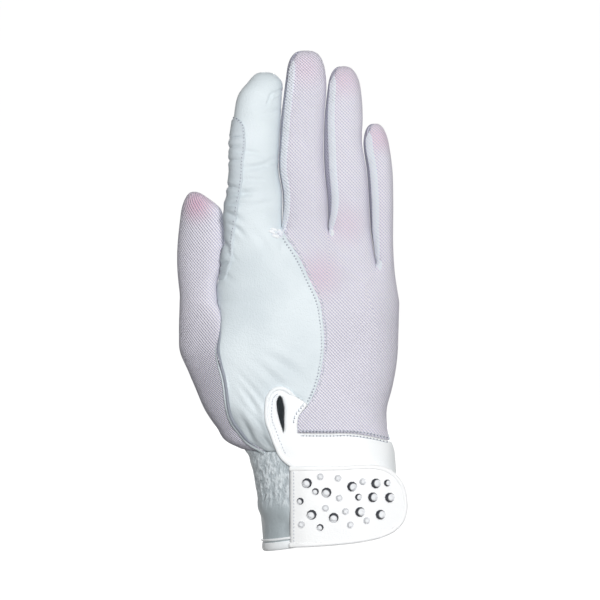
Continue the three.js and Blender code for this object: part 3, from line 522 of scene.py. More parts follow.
class Finish:
    """A material. Its constants go on the shader's own sockets; node() adds any other node from
    its type, its settings and its sockets' values or links, and gives its output."""

    def __init__(self, name, **constants):
        self.material = bpy.data.materials.new(name)
        self.material.use_nodes = True
        self.tree = self.material.node_tree
        self.shader = self.tree.nodes["Principled BSDF"]
        for socket, value in constants.items():
            self.shader.inputs[socket.replace("_", " ")].default_value = value

    def node(self, kind, settings, sockets, output=0):
        made = self.tree.nodes.new(kind)
        for name, value in settings.items():
            setattr(made, name, value)
        for name, value in sockets.items():
            if isinstance(value, Value):
                self.tree.links.new(value.socket, made.inputs[name])
            else:
                made.inputs[name].default_value = value
        return Value(self, made.outputs[output])

    def place(self):
        """Object coordinates, in metres."""
        return self.node("ShaderNodeTexCoord", {}, {}, "Object")

    def parts_of(self, vector):
        """The three numbers of a vector."""
        split = self.node("ShaderNodeSeparateXYZ", {}, {0: vector})
        outputs = split.socket.node.outputs
        return [Value(self, outputs[i]) for i in range(3)]

    def noise(self, vector, scale, detail=2.0, rough=0.5):
        """Cloudy noise from 0 to 1, with scale clouds to a metre."""
        return self.node("ShaderNodeTexNoise", {},
                         {"Vector": vector, "Scale": scale, "Detail": detail, "Roughness": rough})

    def stretched(self, vector, scale, turn=(0, 0, 0)):
        """Coordinates turned and then stretched, so that a pattern on them leans."""
        return self.node("ShaderNodeMapping", {},
                         {"Vector": vector, "Scale": scale, "Rotation": turn})

    def mix(self, share, low, high):
        """A colour between two colours."""
        return self.node("ShaderNodeMix", {"data_type": "RGBA"}, {0: share, 6: low, 7: high}, 2)

    def bump(self, height, distance, strength=1.0):
        """A normal that makes height, from 0 to 1, stand as far out as distance."""
        return self.node("ShaderNodeBump", {},
                         {"Height": height, "Distance": distance, "Strength": strength})

    def set(self, **values):
        """Link the shader's own sockets."""
        for socket, value in values.items():
            self.tree.links.new(value.socket, self.shader.inputs[socket.replace("_", " ")])


def srgb(red, green, blue):
    """A colour as a screen shows it, made linear for the shader."""
    colour = np.array([red, green, blue]) / 255
    linear = np.where(colour <= 0.04045, colour / 12.92, ((colour + 0.055) / 1.055) ** 2.4)
    return (*linear.tolist(), 1.0)


def leather(name, colour, tired, grain=0.05, creases=0.10, rough=0.5, painted_shade=0.0):
    """Soft glove leather: a fine pebbled grain, wandering creases, and cloudy greyer patches. A
    painted shade can make it greyer still towards the wrist on the thumb's side."""
    finish = Finish(name, Roughness=rough, Specular_IOR_Level=0.4)
    place = finish.place()
    pebbles = finish.node("ShaderNodeTexVoronoi", {"feature": "SMOOTH_F1"},
                          {"Vector": place, "Scale": 1500.0, "Smoothness": 0.6})
    soft = finish.noise(finish.stretched(place, (1.0, 1.0, 1.9), (0, 0.5, 0)), 90.0, 4.0, 0.62)
    cloudy = finish.noise(place, 28.0, 3.0)
    tone_and_painted_shade = finish.mix(cloudy.between(0.35, 0.75), srgb(*colour), srgb(*tired))
    # Painted shade: greyer towards the lower left, by the wrist on the thumb's side
    if painted_shade:
        x, _, z = finish.parts_of(place)
        low = (1 - (x + z * 1.5).between(37 * MM, 54 * MM)) * painted_shade
        tone_and_painted_shade = finish.mix(low, tone_and_painted_shade, srgb(*(0.8 * c for c in tired)))
    finish.set(
        Base_Color=tone_and_painted_shade,
        Normal=finish.bump(pebbles * grain + soft * creases, 2.5 * MM),
        Roughness=cloudy * 0.12 + (rough - 0.06),
    )
    return finish.material


white_leather = leather("white leather", (226, 235, 239), (211, 221, 226), painted_shade=0.9)
TIP_ROWS = 18


def heights(start, tip, rows):
    """Even heights from start up to a tip, with more of them where it rounds off."""
    cap = tip - TIP_ROUND * (1 - np.sin(np.linspace(0, np.pi / 2, TIP_ROWS)))
    shaft = np.linspace(start, tip - TIP_ROUND, rows)[:-1]
    return np.concatenate([shaft, cap])[:, None]


def fan(start, stop, steps):
    """Angles from start to stop for each row of a panel."""
    share = np.linspace(0, 1, steps + 1)
    return start + (stop - start) * share


def behind(half_depth):
    """The angle past the side at which a panel ends, SEAM_BEHIND behind the middle surface."""
    share = np.clip(SEAM_BEHIND / np.maximum(half_depth, 1e-3), 0, 0.8)
    return np.arccos((1 - share ** ROUNDNESS) ** (1 / ROUNDNESS))


BACK_SEAM = table("up across", [
    (0.968, -0.247),
    (0.914, -0.182),
    (0.835, -0.111),
    (0.770, -0.057),
    (0.707, -0.036),
    (0.635, -0.027),
    (0.579, -0.036),
    (0.521, -0.057),
    (0.470, -0.091),
    (0.435, -0.127),
    (0.401, -0.176),
    (0.348, -0.185),
])


def back_seam(z):
    """The seam between leather and mesh on the back, up into the crotch beside the index."""
    seam = read(BACK_SEAM, "up", "across", z / CROTCH_HEIGHT) * HAND_WIDTH
    top = BACK_SEAM["up"][-1] * CROTCH_HEIGHT
    crotch = column_edges(2, z)[0]
    return lerp(seam, crotch, np.clip((z - top) / (CROTCH_HEIGHT - top), 0, 1))


# Creases in the leather: middle in x and z, half length, half width, turn from level, depth
CREASES = table("z x length width turn depth", [
    (200.0, -23.8, 4.0, 0.55, 0.45, 0.9),
    (196.8, -26.6, 2.4, 0.50, 1.15, 0.6),
    (190.5, -26.5, 5.0, 1.1, 0.30, 0.4),
    (175.5, -42.0, 3.5, 0.9, 0.10, 0.80),
    (173.0, -36.0, 6.0, 1.0, -0.10, 0.70),
    (169.5, -42.5, 3.0, 0.8, 0.00, 0.70),
    (166.5, -32.0, 8.0, 1.1, 0.12, 0.70),
    (160.5, -33.0, 7.0, 1.0, -0.05, 0.40),
    (154.5, -38.5, 5.0, 1.2, 0.10, 1.10),
    (157.5, -42.5, 3.5, 1.0, -0.2, 0.90),
    (64.4, -14.9, 5.0, 0.9, -0.52, 0.5),
    (150.0, -30.0, 6.0, 1.0, 0.20, 0.35),
    (145.0, -43.0, 4.0, 1.2, -0.5, 0.9),
    (139.0, -41.0, 4.5, 1.0, -0.7, 0.7),
    (131.5, -45.5, 3.5, 1.2, -1.0, 0.9),
    (123.5, -46.0, 3.0, 1.0, 0.3, 0.9),
    (127.2, -44.0, 3.2, 0.8, -0.6, 0.7),
    (117.5, -45.0, 2.8, 1.0, -0.5, 0.5),
    (169.0, -27.0, 4.0, 0.8, 0.45, 0.5),
    (180.0, -41.0, 3.0, 0.7, 0.15, 0.6),
    (149.5, -42.5, 3.5, 0.9, 0.25, 0.8),
    (77.8, -19.6, 9.0, 2.2, -0.55, 0.6),
    (74.5, -26.5, 8.0, 1.8, -0.75, 0.5),
    (133.0, -29.8, 6.0, 1.6, -1.0, 0.35),
    (67.0, -33.5, 9.0, 1.1, -0.9, 0.5),
    (60.5, -33.5, 9.0, 1.2, -1.05, 0.8),
    (52.5, -31.5, 8.0, 1.2, -1.0, 0.9),
    (45.0, -28.5, 5.0, 1.0, -0.9, 0.8),
    (49.5, -36.0, 6.0, 1.1, -1.1, 0.7),
])


def crease_sink(x, z):
    """How far the creases sink the leather: each by its depth times a bell curve across and
    along it, with a lower bulge either side."""
    sink = np.zeros_like(x)
    for i in range(len(CREASES["z"])):
        crease = {name: column[i] for name, column in CREASES.items()}
        cosine, sine = np.cos(crease["turn"]), np.sin(crease["turn"])
        along = (x - crease["x"]) * cosine + (z - crease["z"]) * sine
        beside = (z - crease["z"]) * cosine - (x - crease["x"]) * sine
        beside = (beside + 0.04 * along ** 2 / crease["length"]) / crease["width"]
        bell = np.exp(-beside ** 2) - 0.45 * np.exp(-(np.abs(beside) - 2.0) ** 2)
        sink = sink + crease["depth"] * bell * np.exp(-(along / crease["length"]) ** 2)
    return sink


def creased(points):
    """Leather with its creases, which fade where it comes to a point."""
    room = np.clip(lengths(points, 1)[:, -1:] / 10, 0, 1) ** 2
    sink = crease_sink(points[..., 0], points[..., 2]) * room
    return points - grid_normals(points) * sink[..., None]


z = heights(CUFF_HEIGHT, INDEX_TIP, 190)
left = np.where(z < THUMB_CROTCH, thumb_edge(z), column_edges(1, z)[0])
right = np.where(z < CROTCH_HEIGHT, back_seam(z), column_edges(1, z)[1])
wrap = behind(digit_depth(1, z)) * ease((z - THUMB_CROTCH) / SIDE_OPENS)
back_angles = fan(-wrap, np.pi + 0 * z, 64)
back_panel = creased(skin(1, back_angles, z, left, right))
back_panel = turned_in(back_panel, left=0.15, right=0.35, low=0.15, reach=1.0)

# The keyhole's two sides, up from the mesh's hem
KEYHOLE = table("up left right", [
    (0.3480, -0.339, -0.185),
    (0.3800, -0.361, -0.184),
    (0.4010, -0.3675, -0.176),
    (0.4200, -0.368, -0.150),
    (0.4370, -0.366, -0.128),
    (0.4550, -0.362, -0.165),
    (0.4700, -0.350, -0.215),
    (0.4840, -0.325, -0.252),
    (0.4900, -0.290, -0.290),
])
# The yoke's left side under the keyhole, down to the tab
YOKE_LEFT = table("up left", [
    (0.201, -0.180),
    (0.243, -0.216),
    (0.258, -0.253),
    (0.311, -0.313),
    (0.348, -0.339),
])


def keyhole_side(side, z):
    """A side of the keyhole at a height, read by an angle whose sine is the height's share, so
    that its top comes out round."""
    low, high = KEYHOLE["up"][0], KEYHOLE["up"][-1]

    def turn(up):
        return np.arcsin(np.clip((up - low) / (high - low), 0, 1))

    turned = {"turn": turn(KEYHOLE["up"]), side: KEYHOLE[side]}
    return read(turned, "turn", side, turn(z / CROTCH_HEIGHT)) * HAND_WIDTH


def yoke_left(z):
    """The yoke's bound edge at any height."""
    low = read(YOKE_LEFT, "up", "left", z / CROTCH_HEIGHT) * HAND_WIDTH
    return np.where(z < KEYHOLE["up"][0] * CROTCH_HEIGHT, low, keyhole_side("left", z))


# The leather is cut away under the wrist yoke, a little inside the yoke's own edge
YOKE_LAP = 1.4
faces = grid_faces(*back_panel.shape[:2])
middles = back_panel.reshape(-1, 3)[faces].mean(axis=1)
middle_x, middle_z = middles[:, 0], middles[:, 2]
inside_right = np.where(middle_z > KEYHOLE["up"][0] * CROTCH_HEIGHT,
                        keyhole_side("right", middle_z) - YOKE_LAP, HAND_WIDTH)
under_yoke = (
    (middle_x > yoke_left(middle_z) + YOKE_LAP)
    & (middle_x < inside_right)
    & (middle_z < KEYHOLE["up"][-1] * CROTCH_HEIGHT - YOKE_LAP)
)
flat = np.stack([back_panel[..., 0], back_panel[..., 2]], axis=-1)
piece("hand_back_leather", [(back_panel, faces[~under_yoke], flat)], white_leather,
      ["back_leather"], WALL)


# The mesh back: fine knitted airmesh with small holes on a diagonal grid, one panel over the
# hand and the middle, ring and little fingers. It is sewn to the leather with two rows of
# stitches, and to the fingers' side strips with an edge that stands up as a narrow ridge.
MESH_HEM = table("across up", [
    (-0.200, 0.348),
    (0.000, 0.347),
    (0.120, 0.347),
    (0.243, 0.337),
    (0.354, 0.322),
    (0.440, 0.313),
])
HEM_FADE = 14
SEAM_LAP = 1.2
LAP_SINK = 2.0
CROTCH_OPENS = 8
MESH_SHARES = {1: 0, 2: 0.36, 3: 0.70, 4: 1}
HOLE_PITCH = 1.05
MESH_STEPS = 36
HEM_ROWS = 76
CROTCH_ROWS = 14
MESH_WALL = 1.0
SEAM_SINK = 0.5
# How far each finger's ridge lies from its left side, up the finger
RIDGES = [
    None,
    table("along width", [(0, 0.5), (0.08, 1.3), (0.3, 1.8), (0.85, 2.2), (1, 1.8)]),
    table("along width", [(0, 0.6), (0.08, 2.2), (0.3, 3.4), (0.5, 3.4), (0.7, 2.6), (1, 1.4)]),
    table("along width", [(0, 0.4), (0.25, 1.9), (0.6, 2.5), (1, 2.0)]),
]


def ridge_angle(column, z):
    """The angle at which a finger's left strip meets its back."""
    crotch = CROTCHES[column - 1]
    tip = FINGERS[column - 1]["tip"]
    left, right = column_edges(column, z)
    width = read(RIDGES[column - 1], "along", "width", (z - crotch) / (tip - crotch))
    width = width * np.clip((z - crotch) / 1.0, 0, 1)
    shaft_left, shaft_right = column_edges(column, np.minimum(z, tip - TIP_ROUND))
    share = np.clip(2 * width / (shaft_right - shaft_left), 0, 0.9)
    return np.arccos(1 - share)


def hem_height(x):
    """The lower edge of the mesh."""
    return read(MESH_HEM, "across", "up", x / HAND_WIDTH) * CROTCH_HEIGHT


def mesh_edge(number, z):
    """The line between two columns of the mesh: even shares from the seam to the outer edge,
    drawn to the crotches above."""
    start = back_seam(z) - SEAM_LAP
    even = lerp(start, palm_edge(4, z), MESH_SHARES[number])
    return lerp(even, palm_edge(number, z), ease((z - LITTLE_CROTCH) / 30 + 1))


def column_rows(column, low, low_rows, finger_rows):
    """Heights up a column of the hand and its finger, with a row at each height of a crotch."""
    shared = np.linspace(low, LITTLE_CROTCH, low_rows)
    between = np.linspace(LITTLE_CROTCH, CROTCH_HEIGHT, CROTCH_ROWS)[1:]
    finger = heights(CROTCH_HEIGHT, FINGERS[column - 1]["tip"], finger_rows)[1:, 0]
    return np.concatenate([shared, between, finger])[:, None]


def mesh_column(column):
    """One column of the mesh back, from its hem up to a fingertip."""
    low = hem_height(np.array(0.0))
    z = column_rows(column, low, HEM_ROWS, 66)
    left, right = column_edges(column, z)
    left = np.where(z < LITTLE_CROTCH, mesh_edge(column - 1, z), left)
    right = np.where(z < LITTLE_CROTCH, mesh_edge(column, z), right)
    if column == 2:
        lap = SEAM_LAP * ease((CROTCH_HEIGHT - z) / CROTCH_OPENS)
        left = np.where(z < CROTCH_HEIGHT, back_seam(z) - lap, left)
    past_side = behind(digit_depth(column, z)) if column == 4 else 0 * z
    angles = fan(ridge_angle(column, z), np.pi + past_side, MESH_STEPS)
    x = round_x(angles, left, right)
    drop = (hem_height(x) - low) * (1 - ease((z - low) / HEM_FADE))
    return skin_at(column, x, z + drop, angles), z


# Painted shade on the mesh, which makes it greyer: round the thumb's base, by place, reach and
# strength, and towards the hand's outer edge, below the fingers
SHADE_SPOTS = [((-50, -3, 56), 52, 0.72)]
SHADE_EDGE = (12, 34)
SHADE_BELOW = (100, 140)
EDGE_STRENGTH = 0.4


def knit(name, colour, hole, blush, spots):
    """Airmesh: slanting ribs crossed by finer ones, with a small hole where two hollows meet, a
    warm blush where it is stretched thin, and painted shade round the thumb's base and outer edge."""
    finish = Finish(name, Roughness=0.85, Specular_IOR_Level=0.2, Sheen_Weight=0.15,
                    Sheen_Roughness=0.5)
    flat = finish.node("ShaderNodeUVMap", {"uv_map": "flat"}, {})
    place = finish.place()
    sway = finish.noise(place, 160.0) * 0.5
    u, v, _ = finish.parts_of(flat)
    turn = 2 * np.pi / (HOLE_PITCH * 2 ** 0.5)
    ribs = ((u + v + sway) * turn).math("COSINE") * 0.5 + 0.5
    rows = ((u - v + sway) * turn).math("COSINE") * 0.5 + 0.5
    holes = (ribs * 0.35 + ribs * rows * 0.65).between(0.1, 0.8)
    cloudy = finish.noise(place, 40.0, 3.0)

    def near(places):
        """How strongly the nearest of some places tells: its strength, eased off to its reach."""
        told = 0.0
        for spot, reach, strength in places:
            distance = finish.node("ShaderNodeVectorMath", {"operation": "DISTANCE"},
                                   {0: place, 1: tuple(c * MM for c in spot)}, "Value")
            share = (1 - distance.between(0.0, reach * MM)) * strength
            told = share.math("MAXIMUM", told)
        return told

    cloth = finish.mix(cloudy.between(0.3, 0.7), srgb(*colour), srgb(*(c - 6 for c in colour)))
    cloth = finish.mix(near(spots), cloth, srgb(*blush))
    # Painted shade: greyer round the thumb's base and towards the hand's outer edge, below the fingers
    x, _, z = finish.parts_of(place)
    outer = x.between(*(edge * MM for edge in SHADE_EDGE))
    below = 1 - z.between(*(up * MM for up in SHADE_BELOW))
    painted_shade = near(SHADE_SPOTS).math("MAXIMUM", outer * below * EDGE_STRENGTH)
    cloth = finish.mix(painted_shade, cloth, srgb(*(0.78 * c for c in colour)))
    finish.set(Base_Color=finish.mix(holes * 0.8, cloth, srgb(*hole)),
               Normal=finish.bump(1 - holes, 0.6 * MM, 0.8))
    return finish.material


# Where the mesh is stretched thin: its place, how far the blush reaches and its strength
HAND_BLUSH = [
    ((-9.6, -6, 213), 15, 0.45), ((7.5, 0, 207), 13, 0.40), ((23, 2, 180), 11, 0.50),
    ((8, -8, 141), 14, 0.25), ((-4.5, -12, 118), 15, 0.34), ((-60.5, 0, 151), 13, 0.95),
]
lilac_mesh = knit("lilac mesh", (250, 247, 255), (198, 197, 225), (246, 196, 218), HAND_BLUSH)


def unrolled(points, tip):
    """Heights on the uncut cloth: z on the shaft, and the length so far where the tip rounds."""
    first = int(np.argmax(points[:, 0, 2] > tip - TIP_ROUND))
    rise = lengths(points, 0)
    over = points[first, :, 2] + rise - rise[first]
    return np.where(np.arange(len(points))[:, None] < first, points[..., 2], over)


mesh_parts = []
carried = 0.0
for column in (2, 3, 4):
    points, z = mesh_column(column)
    extra = lengths(points, 1) - (points[..., 0] - points[:, :1, 0])
    own = ease((z - 95) / 20)
    middle = extra[:, MESH_STEPS // 2:MESH_STEPS // 2 + 1]
    flat_x = points[..., 0] + extra - own * middle + (1 - own) * carried
    carried = carried + np.where(own < 1, extra[:, -1:], 0)[:HEM_ROWS].mean()
    seam_left = SEAM_SINK * ease((z - CROTCHES[column - 1]) / 4)
    seam_right = SEAM_SINK * (1 if column == 4 else ease((z - CROTCHES[column]) / 4)) + 0 * z
    if column == 2:
        under = ease((CROTCH_HEIGHT - z) / CROTCH_OPENS)
        points = turned_in(points, left=LAP_SINK * under, reach=2.6)
        seam_left = SEAM_SINK * (1 - under)
    points = turned_in(points, left=seam_left, right=seam_right, low=SEAM_SINK)
    flat_z = unrolled(points, FINGERS[column - 1]["tip"])
    mesh_parts.append(grid(points, np.stack([flat_x, flat_z], axis=-1)))
piece("hand_back_mesh", mesh_parts, lilac_mesh, ["back_mesh"], MESH_WALL)


# The strips between the fingers: narrow mesh fourchettes down the sides that face each other,
# folded at the crotch. Each is sewn to a finger's back and to its palm side.
STRIP_WALL = 0.9
STRIP_SINK = 0.4
PALM_MARGIN = 2.6
STRIP_FOOT = 1.0
# The strips' mesh is painted darker than the back's, holes too: painted shade between the fingers
shaded_side_mesh = knit("side mesh in painted shade", (204, 204, 221), (140, 140, 160), (220, 206, 222), HAND_BLUSH)


def palm_angle(column, z):
    """The angle on the palm side at which the palm leather meets the strips."""
    tip = FINGERS[column - 1]["tip"]
    left, right = column_edges(column, np.minimum(z, tip - TIP_ROUND))
    return np.arccos(1 - np.clip(2 * PALM_MARGIN / (right - left), 0, 0.9)) + 0 * z


def strip_opens(number, z):
    """How far a crotch has opened into two strips, from 0 at its foot to 1."""
    return ease((z - CROTCHES[number] + STRIP_FOOT) / CROTCH_OPENS)


for number, name in ((1, "index_middle"), (2, "middle_ring"), (3, "ring_little")):
    parts = []
    for column, start_side in ((number, False), (number + 1, True)):
        z = heights(CROTCHES[number] - STRIP_FOOT, FINGERS[column - 1]["tip"], 70)
        opened = strip_opens(number, z)
        left, right = column_edges(column, z)
        if start_side:
            angles = fan(-palm_angle(column, z) * opened, ridge_angle(column, z), 14)
        else:
            angles = fan(np.pi + 0 * z, np.pi + palm_angle(column, z) * opened, 10)
        points = skin(column, angles, z, left, right)
        sink = STRIP_SINK * opened
        parts.append(grid(turned_in(points, left=sink, right=sink, reach=0.9)))
    piece(f"side_strips_{name}", parts, shaded_side_mesh, [f"gusset_{name}"], STRIP_WALL)


# The palm: one panel of the same leather under the hand and the four fingers, left plain. It is
# sewn to the strips between the fingers and to the two panels of the back.
PALM_SINK = 0.4
palm_parts = []
for column in (1, 2, 3, 4):
    z = column_rows(column, CUFF_HEIGHT, 96, 60)
    left, right = column_edges(column, z)
    opened_left = strip_opens(column - 1, z)
    opened_right = strip_opens(column, z)
    start = palm_angle(column, z) * opened_right
    stop = palm_angle(column, z) * opened_left
    past_side = behind(digit_depth(column, z))
    if column == 4:
        start = past_side + 0 * z
        opened_right = 1 + 0 * z
    if column == 1:
        left = np.where(z < THUMB_CROTCH, thumb_edge(z), left)
        stop = past_side * ease((z - THUMB_CROTCH) / SIDE_OPENS)
        opened_left = 1 + 0 * z
    angles = fan(np.pi + start, 2 * np.pi - stop, 30)
    x = round_x(angles, left, right)
    points = skin_at(column, x, z, np.clip(angles, np.pi + 1e-6, 2 * np.pi - 1e-6))
    palm_parts.append(grid(turned_in(points, left=PALM_SINK * opened_right,
                                     right=PALM_SINK * opened_left, low=PALM_SINK)))
piece("palm_leather_panel", palm_parts, white_leather, ["palm_leather"], WALL)


# The thumb: the same mesh over its back and the same leather over its ball, sewn to each other
# down both sides, and sewn in round the thumb's base with a seam that runs on down to the cuff.
z = heights(CUFF_HEIGHT, THUMB_TIP, 130)
left, right = thumb_edges(z)
outer = behind(digit_depth(0, z)) + 0 * z
inner = outer * ease((z - THUMB_CROTCH) / SIDE_OPENS)
points = skin(0, fan(-outer, np.pi + inner, 40), z, left, right)
extra = lengths(points, 1)
flat = np.stack([extra, unrolled(points, THUMB_TIP)], axis=-1)
points = turned_in(points, left=SEAM_SINK, right=0.3, low=SEAM_SINK, reach=1.0)
piece("thumb_back_mesh", [grid(points, flat)], lilac_mesh, ["thumb_mesh"], MESH_WALL)
points = skin(0, fan(np.pi + inner, 2 * np.pi - outer, 40), z, left, right)
points = turned_in(points, left=SEAM_SINK, right=SEAM_SINK, low=SEAM_SINK)
piece("thumb_palm_leather", [grid(points)], white_leather, ["thumb_leather"], WALL)


# The wear patch: a second layer of leather over the outer side of the index finger, where a rein
# runs. It lies on the back's leather and is stitched down along its curved edge.
# The patch's leather is painted greyer than the back's: painted shade on the finger's outer side
shaded_leather = leather("patch leather", (213, 222, 228), (194, 204, 210))
PATCH_PROUD = 0.7
PATCH_SINK = 0.9
PATCH_WALL = 0.6
PATCH_EDGE = table("up across", [
    (1.358, -0.560),
    (1.352, -0.533),
    (1.335, -0.505),
    (1.300, -0.492),
    (1.270, -0.490),
    (1.215, -0.501),
    (1.150, -0.508),
    (1.075, -0.530),
    (0.965, -0.559),
    (0.900, -0.570),
    (0.820, -0.622),
])


def patch_edge(z):
    """The stitched edge of the wear patch."""
    return read(PATCH_EDGE, "up", "across", z / CROTCH_HEIGHT) * HAND_WIDTH


low = PATCH_EDGE["up"][0] * CROTCH_HEIGHT
high = PATCH_EDGE["up"][-1] * CROTCH_HEIGHT
z = (low + (high - low) * np.sin(np.linspace(0.02, np.pi / 2, 120)))[:, None]
left, right = column_edges(1, z)
start = -behind(digit_depth(1, z)) + 0 * z
stop = np.arccos(np.clip(-across(patch_edge(z), left, right), -1, 1))
points = creased(skin(1, fan(start, stop, 40), z, left, right))
shown = ease((high - z) / 1.5)
proud = PATCH_PROUD * shown * lerp(0.35, 1, ease((z - low) / 10))
points = points + grid_normals(points) * proud[..., None]
points = turned_in(points, left=PATCH_SINK * shown, right=PATCH_SINK * shown, low=PATCH_SINK,
                   reach=1.0)
piece("index_wear_patch", [grid(points)], shaded_leather, ["index_patch"],
      PATCH_WALL)


# The cuff: a tube of leather gathered over hidden elastic on its thumb side, so that it stretches
# over the hand, and smooth elsewhere. It is sewn under the leather of the back and the palm.
TAB_LEFT = -18
GATHER_DEPTH = 0.12
GATHER_PITCH = 2.9
HEM_HEIGHT = 3.8
HEM_SLOPE = 0.16


def wrist_ring(z, angle):
    """The wrist's section at each height, by the angle round it."""
    left, right = whole("left", z), whole("right", z)
    x = round_x(angle, left, right)
    back = np.where(np.sin(angle) >= 0, 1.0, -1.0)
    y = hand_middle(x, z) - back * body_half(x, z)
    return np.stack([x, y, np.broadcast_to(z, x.shape)], axis=-1)


def gathers(x, z):
    """How far the gathered leather stands out: fine folds that run up the cuff and wander, and
    smaller ones across them, deepest between two rows of elastic."""
    wander = 1.1 * np.sin(0.42 * z + 0.5 * x) + 0.6 * np.sin(1.03 * z - 0.35 * x + 1.0)
    wave = np.cos(2 * np.pi * (x + 0.42 * z + wander) / GATHER_PITCH)
    cross = 0.6 * np.sin(1.9 * z + 0.9 * x + 2 * wander) + 0.5 * np.sin(3.1 * z - 1.3 * x + 2.0)
    beside = ease((TAB_LEFT + 2 - x) / 4) * ease((x + 36) / 4)
    between = ease((z - 15) / 8) * ease((38 - z) / 5)
    fold = 0.9 * np.exp(-((z - 15) / 3.5) ** 2) - 0.8 * np.exp(-((z - 7) / 3.5) ** 2)
    return (GATHER_DEPTH * (wave + cross) * between + fold) * beside


angle = np.linspace(0, 2 * np.pi, 241)[None, :]
share = np.linspace(0, 1, 71)[:, None]
opening = wrist_ring(np.zeros((1, 1)), angle)[..., 0] * HEM_SLOPE
low = opening + 0.5 * HEM_HEIGHT
z = low + (CUFF_HEIGHT - low) * share
points = wrist_ring(z, angle + 0 * z)
front = np.clip(-points[..., 1] / 6, 0, 1)
stands_out = gathers(points[..., 0], points[..., 2]) * front
points = turned_in(points + grid_normals(points) * stands_out[..., None], high=SEAM_SINK)
# The cuff's leather is painted grey all over as painted shade, lighter on the crinkles' tops as a
# painted highlight, and darker still over its smooth lower band, as painted shade under the fold
cuff_leather = Finish("cuff leather", Specular_IOR_Level=0.45, Roughness=0.42)
place = cuff_leather.place()
_, _, height = cuff_leather.parts_of(place)
smooth = 1 - height.between(13 * MM, 21 * MM)
leaning = cuff_leather.stretched(place, (1.0, 1.0, 0.5), (0, 0.5, 0))
crinkle = cuff_leather.noise(leaning, 620.0, 3.0, 0.65)
broad = cuff_leather.noise(place, 110.0)
shade = cuff_leather.mix(crinkle.between(0.42, 0.62), srgb(186, 196, 201), srgb(222, 230, 234))
cuff_leather.set(
    Base_Color=cuff_leather.mix(smooth * 0.9, shade, srgb(170, 180, 184)),
    Normal=cuff_leather.bump(crinkle * (1.0 - smooth * 0.85) * 0.5 + broad * 0.25, 2.8 * MM),
)
piece("gathered_cuff", [grid(points)], cuff_leather.material, ["cuff"], WALL)


# The hem: a strip of leather folded over the edge of the wrist opening and stitched through, with
# a thin piping laid in along its top.
turn = np.linspace(0, 2 * np.pi, 17)[:, None]
around = angle + 0 * turn
normal = grid_normals(wrist_ring(opening + np.linspace(-1, 1, 17)[:, None], around))
band_z = opening + HEM_HEIGHT / 2 - HEM_HEIGHT / 2 * np.cos(turn)
band = wrist_ring(band_z, around) + normal * (0.9 * np.sin(turn) - 0.35)[..., None]
piping_z = opening + HEM_HEIGHT + 1.0 - 0.55 * np.cos(turn)
piping = wrist_ring(piping_z, around) + normal * (0.5 * np.sin(turn) + 0.25)[..., None]
hem_leather = leather("hem leather", (252, 254, 255), (240, 246, 249), 0.03, 0.10)
piece("hem_band", [grid(band), grid(piping)], hem_leather, ["hem_binding"])


# The wrist yoke: smooth white leather between the mesh and the cuff, with a keyhole of its own
# that stands up beside the seam. The keyhole's slit lets the wrist open over the hand. The yoke
# lies on the leather of the back and its edge is bound.
YOKE_PROUD = 0.6
YOKE_FOOT = 0.201
YOKE_WALL = 1.0
YOKE_PAST_SIDE = 0.35
SLIT_TOP = (-0.290, 0.467)
SLIT_LENGTH = 16.6
SLIT_WIDTH = 2.9
SLIT = table("up left right", [
    (0.00, 0.55, 0.55),
    (0.10, 0.38, 0.62),
    (0.38, -0.10, 0.62),
    (0.67, -0.45, 0.62),
    (0.88, -0.42, 0.35),
    (0.96, -0.20, 0.20),
    (1.00, 0.00, 0.00),
])


def slit_side(side, z):
    """A side of the slit; above and below it both sides are one line."""
    x, top = SLIT_TOP[0] * HAND_WIDTH, SLIT_TOP[1] * CROTCH_HEIGHT
    share = 1 - (top - z) / SLIT_LENGTH
    return x + read(SLIT, "up", side, share) * SLIT_WIDTH


hem_low = hem_height(np.array(-0.2 * HAND_WIDTH))
keyhole_top = KEYHOLE["up"][-1] * CROTCH_HEIGHT
foot = YOKE_FOOT * CROTCH_HEIGHT
band_rows = np.linspace(foot, hem_low, 26)
keyhole_rows = hem_low + (keyhole_top - hem_low) * np.sin(np.linspace(0, np.pi / 2, 60))[1:]
nominal = np.concatenate([band_rows, keyhole_rows])[:, None]
steps = np.linspace(0, 1, 15)
middle_line = (keyhole_side("left", nominal) + keyhole_side("right", nominal)) / 2
above = ease((nominal - SLIT_TOP[1] * CROTCH_HEIGHT) / 3)
slit_left = lerp(slit_side("left", nominal), middle_line, above)
slit_right = lerp(slit_side("right", nominal), middle_line, above)
slit_left = np.maximum(slit_left, yoke_left(nominal))
slit_right = np.maximum(slit_right, yoke_left(nominal))
x_left = lerp(yoke_left(nominal), slit_left, steps)
x_right = lerp(slit_right, keyhole_side("right", nominal), steps)


def surface(depth, step):
    """A surface from its depth over x and z: a function that gives its points, raised by proud,
    and their outward normals, from the depth's slopes a step to each side."""
    def at(x, z, proud=0.0):
        slope_x = (depth(x + step, z) - depth(x - step, z)) / (2 * step)
        slope_z = (depth(x, z + step) - depth(x, z - step)) / (2 * step)
        normal = np.stack([slope_x, -np.ones_like(slope_x), slope_z], axis=-1)
        normal /= np.linalg.norm(normal, axis=-1, keepdims=True)
        points = np.stack([x, depth(x, z), np.broadcast_to(z, x.shape)], axis=-1)
        return points + normal * proud, normal

    return at


def yoke_z(x, z):
    """Heights of the yoke's rows, spread so that the top one follows the mesh's hem."""
    return foot + (z - foot) / (hem_low - foot) * (hem_height(x) - foot)


def yoke_strip(x):
    """A strip of the yoke over its rows of x."""
    z = np.broadcast_to(nominal, x.shape)
    return on_back(x, np.where(z <= hem_low, yoke_z(x, z), z), YOKE_PROUD)[0]


